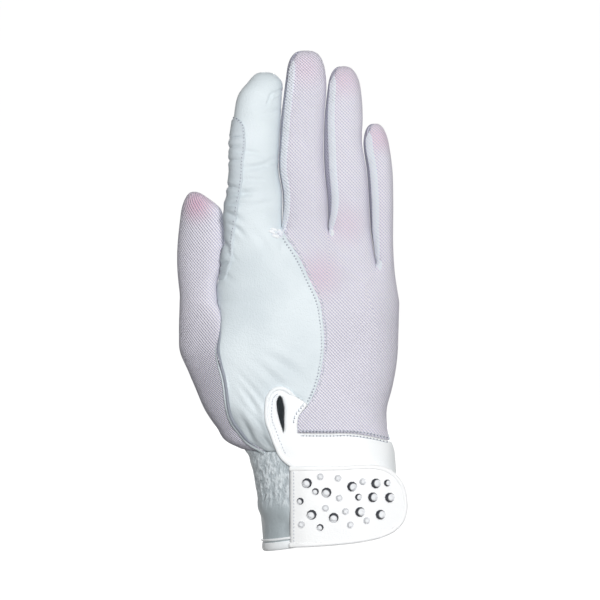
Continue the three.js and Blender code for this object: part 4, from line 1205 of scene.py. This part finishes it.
on_back = surface(back_y, 0.25)
slit_open = ease((SLIT_TOP[1] * CROTCH_HEIGHT - nominal) / 1.0) * ease(
    (nominal - SLIT_TOP[1] * CROTCH_HEIGHT + SLIT_LENGTH) / 1.0)
keyhole = (nominal > hem_low - 1e-6) * 1.0
left_part = turned_in(yoke_strip(x_left), left=0.8, right=0.9 * slit_open, reach=1.6)
right_part = turned_in(yoke_strip(x_right), left=0.9 * slit_open, right=0.6 * keyhole, reach=1.2)
z = band_rows[:, None]
left, right = whole("left", z), whole("right", z)
start = np.arccos(-across(keyhole_side("right", z), left, right))
angles = fan(start, np.pi + YOKE_PAST_SIDE, 60)
x = round_x(angles, left, right)
band = skin_at(1, x, yoke_z(x, z), angles)
band = band + grid_normals(band) * YOKE_PROUD
band = turned_in(band, right=0.6, high=0.6, reach=1.2)
band[:, 0] = right_part[:len(band_rows), -1]
smooth_leather = leather("smooth white leather", (252, 254, 255), (246, 250, 252), 0.03, 0.07, 0.42)
piece("yoke_and_keyhole", [grid(left_part), grid(right_part), grid(band)], smooth_leather,
      ["wrist_yoke"], YOKE_WALL)


def sweep(path, normal, profile, fade=1):
    """A profile carried along a path: its first number goes across the path, its second along
    the normal. Both ends close to a point over a number of steps."""
    tangent = np.gradient(path, axis=0)
    tangent /= np.linalg.norm(tangent, axis=-1, keepdims=True)
    beside = np.cross(tangent, normal)
    beside /= np.linalg.norm(beside, axis=-1, keepdims=True)
    step = np.arange(len(path))
    size = ease(step / fade) * ease((len(path) - 1 - step) / fade)
    offsets = profile[None, :, 0, None] * beside[:, None] + profile[None, :, 1, None] * normal[:, None]
    return path[:, None] + offsets * size[:, None, None]


def rounded(width, height, steps=16, power=2.5):
    """A closed superellipse profile, width by height."""
    turn = np.linspace(0, 2 * np.pi, steps + 1)
    cosine, sine = np.cos(turn), np.sin(turn)
    return np.stack([
        width / 2 * np.sign(cosine) * np.abs(cosine) ** (2 / power),
        height / 2 * np.sign(sine) * np.abs(sine) ** (2 / power),
    ], axis=-1)


def smooth_line(points, steps):
    """A line through points, with even steps along it: cubic in the length so far."""
    points = np.array(points, float)
    for _ in range(2):
        run = np.concatenate([[0], np.cumsum(np.linalg.norm(np.diff(points, axis=0), axis=1))])
        place = np.linspace(0, run[-1], steps)
        names = [str(i) for i in range(points.shape[1])]
        rows = {"run": run, **dict(zip(names, points.T))}
        points = np.stack([read(rows, "run", name, place) for name in names], axis=-1)
    return points


# The wrist tab: stiffened smooth leather that closes over the back of the wrist, sewn down at its
# left end and free at its rounded right end, which stands off the cuff. Its edge is bound.
TAB_BOTTOM = -2
TAB_LENGTH = 53
TAB_HEIGHT = 36
TAB_WALL = 1.6
TAB_LIFT = 0.7
TAB_STRAIGHT_LENGTH = 31
TAB_END_OVER = 10
TAB_END = TAB_LEFT + TAB_LENGTH
TAB_BINDING_WIDTH = 2.2
TAB_TOP = table("along up", [
    (0.00, 0.990),
    (0.43, 1.000),
    (0.64, 1.015),
    (0.77, 1.000),
    (0.86, 0.945),
    (0.94, 0.830),
    (0.99, 0.665),
    (1.00, 0.520),
])
TAB_FOOT = table("along up", [
    (0.00, -0.010),
    (0.35, 0.020),
    (0.60, 0.060),
    (0.81, 0.130),
    (0.91, 0.210),
    (0.98, 0.345),
    (1.00, 0.520),
])


def tab_outline(rows, share):
    """The tab's upper or lower edge, read by a share that slows towards its round end."""
    turned = {"share": 1 - np.sqrt(1 - rows["along"]), "up": rows["up"]}
    return TAB_BOTTOM + TAB_HEIGHT * read(turned, "share", "up", share)


def tab_front(x, z):
    """Depth of the tab's front: it follows the cuff, then runs on straighter by reading the
    cuff's depth further in."""
    over = np.clip(1 - (TAB_END - x) / TAB_STRAIGHT_LENGTH, 0, 1)
    lift = (TAB_LIFT + TAB_WALL) * lerp(0.6, 1, ease((x - TAB_LEFT) / 8))
    return back_y(x - TAB_END_OVER * over ** 2, z) - lift


on_tab = surface(tab_front, 0.5)
share = np.linspace(0, 0.97, 90)[None, :]
x = TAB_LEFT + TAB_LENGTH * (1 - (1 - share) ** 2)
rise = (1 - np.cos(np.linspace(0, np.pi, 60)))[:, None] / 2
z = lerp(tab_outline(TAB_FOOT, share), tab_outline(TAB_TOP, share), rise)
x = np.broadcast_to(x, z.shape)
face, _ = on_tab(x, z)
face = turned_in(face, left=1.3, right=0.6, low=0.6, high=0.6, reach=1.8)
tab_leather = leather("tab leather", (254, 255, 255), (252, 253, 254), 0.02, 0.05, 0.4)
piece("stone_set_tab", [grid(face)], tab_leather, ["closure_tab"], TAB_WALL)

share = np.linspace(0, 1, 100)
along = TAB_LEFT + TAB_LENGTH * (1 - (1 - share) ** 2)
edge = np.concatenate([
    np.stack([along, tab_outline(TAB_TOP, share)], axis=-1),
    np.stack([along, tab_outline(TAB_FOOT, share)], axis=-1)[::-1][1:],
])
edge = smooth_line(edge, 260)
run = np.gradient(edge, axis=0)
run /= np.linalg.norm(run, axis=-1, keepdims=True)
inward = np.stack([run[:, 1], -run[:, 0]], axis=-1)
spine = edge + inward * TAB_BINDING_WIDTH / 2
path, normal = on_tab(spine[:, 0], spine[:, 1], -TAB_WALL / 2)
binding = sweep(path, normal, rounded(TAB_BINDING_WIDTH, TAB_WALL + 0.8))
piece("tab_edge_binding", [grid(binding)], tab_leather, ["tab_binding"])


# The keyhole's binding: a rolled strip of the same smooth leather, sewn on from the right foot
# of the keyhole over its top, down its left side and on along the top of the tab.
SLIT_BINDING_WIDTH = 1.9
right_turn = np.linspace(0.462, 0.490, 12)[:-1] * CROTCH_HEIGHT
left_turn = np.linspace(0.490, 0.245, 60) * CROTCH_HEIGHT
run_on = np.linspace(-15.0, 4.0, 20)
tab_share = 1 - np.sqrt(1 - (run_on - TAB_LEFT) / TAB_LENGTH)
bound = np.concatenate([
    np.stack([keyhole_side("right", right_turn), right_turn], axis=-1),
    np.stack([yoke_left(left_turn), left_turn], axis=-1),
    np.stack([run_on, tab_outline(TAB_TOP, tab_share) - 0.6], axis=-1),
])
bound = smooth_line(bound, 170)
on_hand, normal = on_back(bound[:, 0], bound[:, 1], 0.35)
over_tab, _ = on_tab(bound[:, 0], bound[:, 1], -0.55)
reached = ease((37 - bound[:, 1]) / 4)[:, None]
path = lerp(on_hand, over_tab, reached)
binding = sweep(path, normal, rounded(SLIT_BINDING_WIDTH, 1.7), 10)
piece("keyhole_binding", [grid(binding)], smooth_leather, ["slit_binding"])


# The closure: a pad of hook tape sewn under the tab's free end. It takes hold of the cuff and
# keeps the wrist closed.
PAD_WALL = 1.6
PAD_SIDES = (20.5, 26.5)
PAD_HEIGHTS = (9, 23)
pad_x, pad_z = np.meshgrid(np.linspace(*PAD_SIDES, 20), np.linspace(*PAD_HEIGHTS, 30))
pad_front, _ = on_tab(pad_x, pad_z, -TAB_WALL - 0.2)
closure = Finish("hook and loop", Roughness=0.95)
weave = closure.noise(closure.place(), 2600.0)
closure.set(Base_Color=closure.mix(weave.between(0.3, 0.7), srgb(226, 228, 230), srgb(200, 203, 206)),
            Normal=closure.bump(weave, 0.8 * MM))
piece("hook_pad", [grid(pad_front)], closure.material, ["closure_pad"], PAD_WALL)


# The stones: round cut crystals, ten large and fourteen small, glued to the front of the tab.
# Each has a flat table with two rings of facets round it, over a low rim.
LARGE_STONE = 4.4
SMALL_STONE = 3.1
STONES = [
    (0.155, 0.790, LARGE_STONE), (0.317, 0.675, LARGE_STONE), (0.194, 0.403, LARGE_STONE),
    (0.377, 0.367, LARGE_STONE), (0.530, 0.747, LARGE_STONE), (0.596, 0.436, LARGE_STONE),
    (0.702, 0.614, LARGE_STONE), (0.728, 0.783, LARGE_STONE), (0.843, 0.608, LARGE_STONE),
    (0.766, 0.400, LARGE_STONE), (0.266, 0.867, SMALL_STONE), (0.225, 0.686, SMALL_STONE),
    (0.413, 0.850, SMALL_STONE), (0.423, 0.608, SMALL_STONE), (0.100, 0.567, SMALL_STONE),
    (0.109, 0.281, SMALL_STONE), (0.309, 0.483, SMALL_STONE), (0.264, 0.247, SMALL_STONE),
    (0.475, 0.442, SMALL_STONE), (0.619, 0.806, SMALL_STONE), (0.583, 0.617, SMALL_STONE),
    (0.515, 0.278, SMALL_STONE), (0.651, 0.328, SMALL_STONE), (0.823, 0.786, SMALL_STONE),
]


def crystal(name, strength):
    """Clear crystal over a bright foil: white, with a painted reflection, a dark crescent outside a
    circle set off towards the light."""
    finish = Finish(name, Roughness=0.1, IOR=1.6)
    flat = finish.node("ShaderNodeUVMap", {"uv_map": "flat"}, {})
    off = finish.node("ShaderNodeVectorMath", {"operation": "DISTANCE"},
                      {0: flat, 1: (-0.14, 0.0, 0.0)}, "Value")
    shade = off.between(0.30, 0.42) * strength
    finish.set(Base_Color=finish.mix(shade, srgb(246, 248, 251), srgb(62, 64, 71)))
    return finish.material


# Painted reflections: faint dark crescents on most small stones, strong ones on the rest
bright_crystal = crystal("bright crystal", 0.25)
dark_crystal = crystal("dark crystal", 1.0)

# The rings of a stone in order: radius and height in shares of its size, and turn in half facets
CUT = table("step out up turned", [
    (0, 0.50, 0.00, 0),
    (1, 0.50, 0.13, 0),
    (2, 0.46, 0.17, 0),
    (3, 0.44, 0.15, 0),
    (4, 0.35, 0.30, 1),
    (5, 0.24, 0.40, 0),
    (6, 0.00, 0.40, 0),
])
FACETS = 10
for number, (along, up, size) in enumerate(STONES, start=1):
    x = np.array([TAB_LEFT + along * TAB_LENGTH])
    z = np.array([TAB_BOTTOM + up * TAB_HEIGHT])
    centre, out = on_tab(x, z)
    side = np.cross(out[0], (0, 0, 1.0))
    side /= np.linalg.norm(side)
    rise = np.cross(side, out[0])
    turn = (np.arange(FACETS + 1)[None, :] + CUT["turned"][:, None] / 2) * 2 * np.pi / FACETS
    out_share, up_share = CUT["out"][:, None, None] * size, CUT["up"][:, None, None] * size
    ring = np.cos(turn)[..., None] * side + np.sin(turn)[..., None] * rise
    points = centre + ring * out_share + out * up_share
    # The painted dark reflection turns from the upper right on stones near the tab's sewn end to the
    # left on those near its free end
    faced = np.pi * lerp(0.25, 1.0, ease((along - 0.25) / 0.4))
    shown = turn - np.pi + faced
    flat = np.stack([np.cos(shown), np.sin(shown)], axis=-1) * CUT["out"][:, None, None]
    made_of = bright_crystal if size == SMALL_STONE and number % 3 else dark_crystal
    stone = piece(f"crystal_{number:02d}", [grid(points, flat)], made_of,
                  [f"stone_{number:02d}"])
    stone.data.shade_flat()


# The ridges: the mesh's edge, turned and rolled outwards where it is sewn to each strip between
# the fingers. The first one runs on round its crotch, over the end of the leather.
RIDGE_WIDTH = 3.6
RIDGE_HEIGHT = 1.3
RIDGE_ASIDE = 0.2
# Where each ridge runs on past the crotch on its left: x and z from that crotch
RIDGE_TAILS = {
    2: [(0.1, -1.2), (-1.2, -2.8), (-3.4, -3.1), (-6.0, -1.6)],
    3: [(1.3, -1.5), (1.6, -4.5)],
    4: [(1.4, -1.5), (1.8, -4.5)],
}


def on_column(column):
    """The back of one finger's column as a surface."""
    return surface(lambda x, z: hand_middle(x, z) - hand_half(column, x, z), 0.2)


ridges = []
for column, tail in RIDGE_TAILS.items():
    crotch = CROTCHES[column - 1]
    z = np.linspace(FINGERS[column - 1]["tip"] - 3, crotch + 1.5, 90)
    left, right = column_edges(column, z)
    x = round_x(ridge_angle(column, z), left, right) + RIDGE_ASIDE
    end = np.array([column_edges(column, np.array(float(crotch)))[0], crotch]) + np.array(tail)
    line = smooth_line(np.concatenate([np.stack([x, z], axis=-1), end]), 190)
    path, normal = on_column(column)(line[:, 0], line[:, 1], -0.05)
    rolled = sweep(path, normal, rounded(RIDGE_WIDTH, RIDGE_HEIGHT, 16, 2.0), 14)
    ridges.append(grid(rolled, rolled[..., ::2]))
# The rolled edge's holes are painted nearly as light as its cloth, so it reads lighter than the back's
# mesh: a painted highlight on the raised edge
ridge_cloth = knit("rolled edge", (246, 250, 255), (230, 236, 255), (246, 240, 252), HAND_BLUSH)
piece("finger_ridges", ridges, ridge_cloth, [])


# The puckers: small folds where the leather and the mesh are drawn together into two of the
# finger crotches, and pressed flat by the seam.
PUCKERS = [
    ((-27.4, 137.9), (-25.4, 137.5), (-23.6, 136.2)),
    ((-25.8, 136.0), (-24.0, 135.6), (-22.0, 134.6)),
    ((-26.4, 138.8), (-24.6, 138.6), (-22.6, 137.6)),
    ((-23.2, 138.8), (-21.8, 137.6), (-20.6, 135.6)),
    ((0.6, 138.8), (1.4, 137.4), (1.8, 135.6)),
]
folds = []
for fold in PUCKERS:
    line = smooth_line(fold, 30)
    path, normal = on_back(line[:, 0], line[:, 1], 0.1)
    folds.append(grid(sweep(path, normal, rounded(1.5, 1.4, 12, 2.0), 8)))
# The puckers' leather is painted whiter than the back's: a painted highlight on the folds
pucker_leather = leather("puckered leather", (250, 252, 254), (232, 238, 243))
piece("crotch_puckers", folds, pucker_leather, [])


# The thumb's seam: a painted shadow, a thin grey strand laid in the line where the thumb's mesh
# meets the leather of the back, from the thumb's crotch down to the cuff.
SEAM_SHADOW = (1.5, 1.0)
z = np.linspace(THUMB_CROTCH + 1, CUFF_HEIGHT + 1, 120)
path, normal = on_back(thumb_edge(z), z, 0.35)
seam_shadow = sweep(path, normal, rounded(*SEAM_SHADOW, 12, 2.0), 10)
seam_shadow_leather = leather("painted seam shadow", (150, 156, 167), (134, 140, 152))
piece("thumb_seam_shadow", [grid(seam_shadow)], seam_shadow_leather, [])


# The topstitching: short white threads a little sunk in the leather, with a needle hole between
# each two. Two rows hold the seam of leather and mesh, one on each side of it, and one row each
# the wear patch, the mesh's hem, the keyhole's edge and the tab's sewn end.
STITCH_PITCH = 1.5
STITCH_LENGTH = 1.1
THREAD = 0.42
NEEDLE_HOLE = 0.66
JUST_PROUD = 0.05
SIDES = 6


def spaced(line, aside):
    """Places along a flat line a stitch apart, moved aside to the left of its run, and the
    direction at each."""
    line = np.array(line, float)
    run = np.concatenate([[0], np.cumsum(np.linalg.norm(np.diff(line, axis=0), axis=1))])
    place = np.arange(STITCH_PITCH / 2, run[-1], STITCH_PITCH)
    at = np.stack([np.interp(place, run, line[:, i]) for i in (0, 1)], axis=-1)
    ahead = np.stack([np.interp(place + 0.3, run, line[:, i]) for i in (0, 1)], axis=-1)
    way = ahead - np.stack([np.interp(place - 0.3, run, line[:, i]) for i in (0, 1)], axis=-1)
    way /= np.linalg.norm(way, axis=-1, keepdims=True)
    return at + np.stack([-way[:, 1], way[:, 0]], axis=-1) * aside, way


def threads(line, on, aside=0.0, slant=0.0):
    """Stitches along a line on a surface: each is a spindle whose radius is a half ellipse in
    its length, bent down at both ends."""
    at, way = spaced(line, aside)
    way = way + slant * np.stack([-way[:, 1], way[:, 0]], axis=-1)
    way /= np.linalg.norm(way, axis=-1, keepdims=True)
    share = np.linspace(-1, 1, 7)
    places = at[:, None] + way[:, None] * (share * STITCH_LENGTH / 2)[None, :, None]
    middle, normal = on(places[..., 0], places[..., 1], JUST_PROUD)
    middle = middle - normal * (0.16 * share ** 2)[None, :, None]
    run = np.gradient(middle, axis=1)
    beside = np.cross(run, normal)
    beside /= np.linalg.norm(beside, axis=-1, keepdims=True)
    radius = THREAD / 2 * np.sqrt(1 - 0.98 * share ** 2)
    turn = np.linspace(0, 2 * np.pi, SIDES + 1)
    ring = np.cos(turn)[:, None] * beside[:, :, None] + np.sin(turn)[:, None] * normal[:, :, None]
    return [grid(one) for one in middle[:, :, None] + ring * radius[None, :, None, None]]


def holes(line, on, aside=0.0):
    """Needle holes between the stitches: small discs, slightly domed, painted dark as the shade in the
    holes.
    """
    at, _ = spaced(line, aside)
    share = np.array([1.0, 0.6, 0.0])
    turn = np.linspace(0, 2 * np.pi, SIDES + 1)
    x = at[:, 0, None, None] + NEEDLE_HOLE / 2 * share[:, None] * np.cos(turn)
    z = at[:, 1, None, None] + NEEDLE_HOLE / 2 * share[:, None] * np.sin(turn)
    points, normal = on(x, z, JUST_PROUD)
    points = points + normal * (0.06 * (1 - share ** 2))[None, :, None, None]
    return [grid(one) for one in points]


def raised(on, more):
    """The same surface further out."""
    return lambda x, z, proud: on(x, z, proud + more)


def on_leather(on, more=0.0):
    """The same surface with the leather's creases, further out."""
    return lambda x, z, proud: on(x, z, (proud + more - crease_sink(x, z))[..., None])


thread = Finish("stitching thread", Roughness=0.6)
fibre = thread.noise(thread.stretched(thread.place(), (1.0, 1.0, 3.0)), 5000.0)
thread.set(Base_Color=thread.mix(fibre.between(0.3, 0.7), srgb(226, 231, 238), srgb(196, 203, 213)),
           Normal=thread.bump(fibre, 0.2 * MM))
# The needle holes' grey is painted shade in the holes
needle = Finish("needle holes", Roughness=0.9)
speckle = needle.noise(needle.place(), 3000.0, 1.0)
needle.set(Base_Color=needle.mix(speckle, srgb(120, 128, 142), srgb(144, 152, 165)))

# How far each row lies from its line, to the left of the line's run
LEATHER_ROW = -1.3
MESH_ROW = 1.0
PATCH_ROW = 0.9
KEYHOLE_ROW = 2.3
CORNER_ROW = -1.9
z = np.linspace(137, 62, 120)
seam_line = np.stack([back_seam(z), z], axis=-1)
x = np.linspace(-13.0, 25.8, 80)
hem_line = np.stack([x, hem_height(x)], axis=-1)
z = PATCH_EDGE["up"][1:] * CROTCH_HEIGHT
patch_line = smooth_line(np.stack([patch_edge(z), z], axis=-1), 120)
z = np.linspace(67.8, 38, 60)
keyhole_line = smooth_line(np.stack([yoke_left(z), z], axis=-1), 90)
tab_line = np.stack([np.full(30, TAB_LEFT + 2.4), np.linspace(0, 32, 30)], axis=-1)
z = np.linspace(60.5, 53, 20)
corner_line = np.stack([keyhole_side("right", z), z], axis=-1)
on_yoke = raised(on_back, YOKE_PROUD)
on_patch = on_leather(on_column(1), PATCH_PROUD)
rows = (
    threads(seam_line, on_leather(on_back), LEATHER_ROW)
    + threads(seam_line, on_back, MESH_ROW, slant=0.5)
    + threads(hem_line, on_back, MESH_ROW, slant=0.4)
    + threads(hem_line, on_yoke, LEATHER_ROW)
    + threads(patch_line, on_patch, PATCH_ROW)
    + threads(keyhole_line, on_yoke, KEYHOLE_ROW)
    + threads(tab_line, on_tab)
    + threads(corner_line, raised(on_yoke, 0.1), CORNER_ROW)
)
# The holes lie half a stitch further along
on_x, on_z = np.eye(2) * STITCH_PITCH / 2
dots = (
    holes(seam_line[1:] - on_z, on_leather(on_back), LEATHER_ROW)
    + holes(corner_line - on_z, raised(on_yoke, 0.1), CORNER_ROW)
    + holes(hem_line + on_x, on_yoke, LEATHER_ROW)
    + holes(hem_line + on_x, on_back, MESH_ROW - 0.2)
    + holes(patch_line[1:] + on_z, on_patch, PATCH_ROW)
)
piece("topstitching", rows, thread.material, [])
piece("needle_holes", dots, needle.material, [])


# The stage: a sweep of plain white paper that is lit evenly, a soft lamp in front and to the
# right, a weak one from the left, and one behind that only shows when the palm is looked at.
def paper_stage():
    """A sweep of white paper: a floor that curves up into a backdrop."""
    distance = np.array([-3.0, -0.2, 1.8, 2.1, 2.3, 2.4, 2.4])
    height = np.array([0.0, 0.0, 0.0, 0.03, 0.14, 0.4, 3.0]) - 0.0075
    wide = np.array([-3.0, 3.0])
    x, y = np.meshgrid(wide, distance)
    points = np.stack([x, y, np.broadcast_to(height[:, None], x.shape)], axis=-1)
    mesh = bpy.data.meshes.new("paper_sweep")
    mesh.from_pydata(points.reshape(-1, 3).tolist(), [], grid_faces(7, 2).tolist())
    mesh.shade_smooth()
    paper = Finish("white paper", Roughness=0.9, Specular_IOR_Level=0.1)
    paper.shader.inputs["Base Color"].default_value = (0.02, 0.02, 0.02, 1)
    paper.shader.inputs["Emission Color"].default_value = (1, 1, 1, 1)
    paper.shader.inputs["Emission Strength"].default_value = 1.0
    mesh.materials.append(paper.material)
    floor = bpy.data.objects.new("paper_sweep", mesh)
    floor.visible_diffuse = False
    bpy.context.scene.collection.objects.link(floor)


paper_stage()
LAMPS = [
    ("key", (0.3, -1.45, 0.5), 0.5, 19.0, (1.0, 1.0, 1.0)),
    ("fill", (-0.9, -1.2, 0.3), 0.9, 1.0, (0.95, 0.97, 1.0)),
    ("rear", (0.2, 1.5, 0.3), 0.8, 15.0, (1.0, 1.0, 1.0)),
]
for name, where, size, power, colour in LAMPS:
    lamp = bpy.data.lights.new(name, "AREA")
    lamp.size, lamp.energy, lamp.color = size, power, colour
    light = bpy.data.objects.new(name, lamp)
    light.location = where
    light.visible_camera = False
    aim = Vector((-0.01, 0, 0.1)) - Vector(where)
    light.rotation_euler = aim.to_track_quat("-Z", "Y").to_euler()
    bpy.context.scene.collection.objects.link(light)
world = bpy.data.worlds.new("studio")
world.use_nodes = True
background = world.node_tree.nodes["Background"]
background.inputs["Color"].default_value = (1, 1, 1, 1)
seen = world.node_tree.nodes.new("ShaderNodeLightPath")
level = world.node_tree.nodes.new("ShaderNodeMapRange")
level.inputs["To Min"].default_value = 0.2
level.inputs["To Max"].default_value = 1.0
world.node_tree.links.new(seen.outputs["Is Camera Ray"], level.inputs["Value"])
world.node_tree.links.new(level.outputs["Result"], background.inputs["Strength"])
bpy.context.scene.world = world
bpy.context.scene.view_settings.view_transform = "Standard"
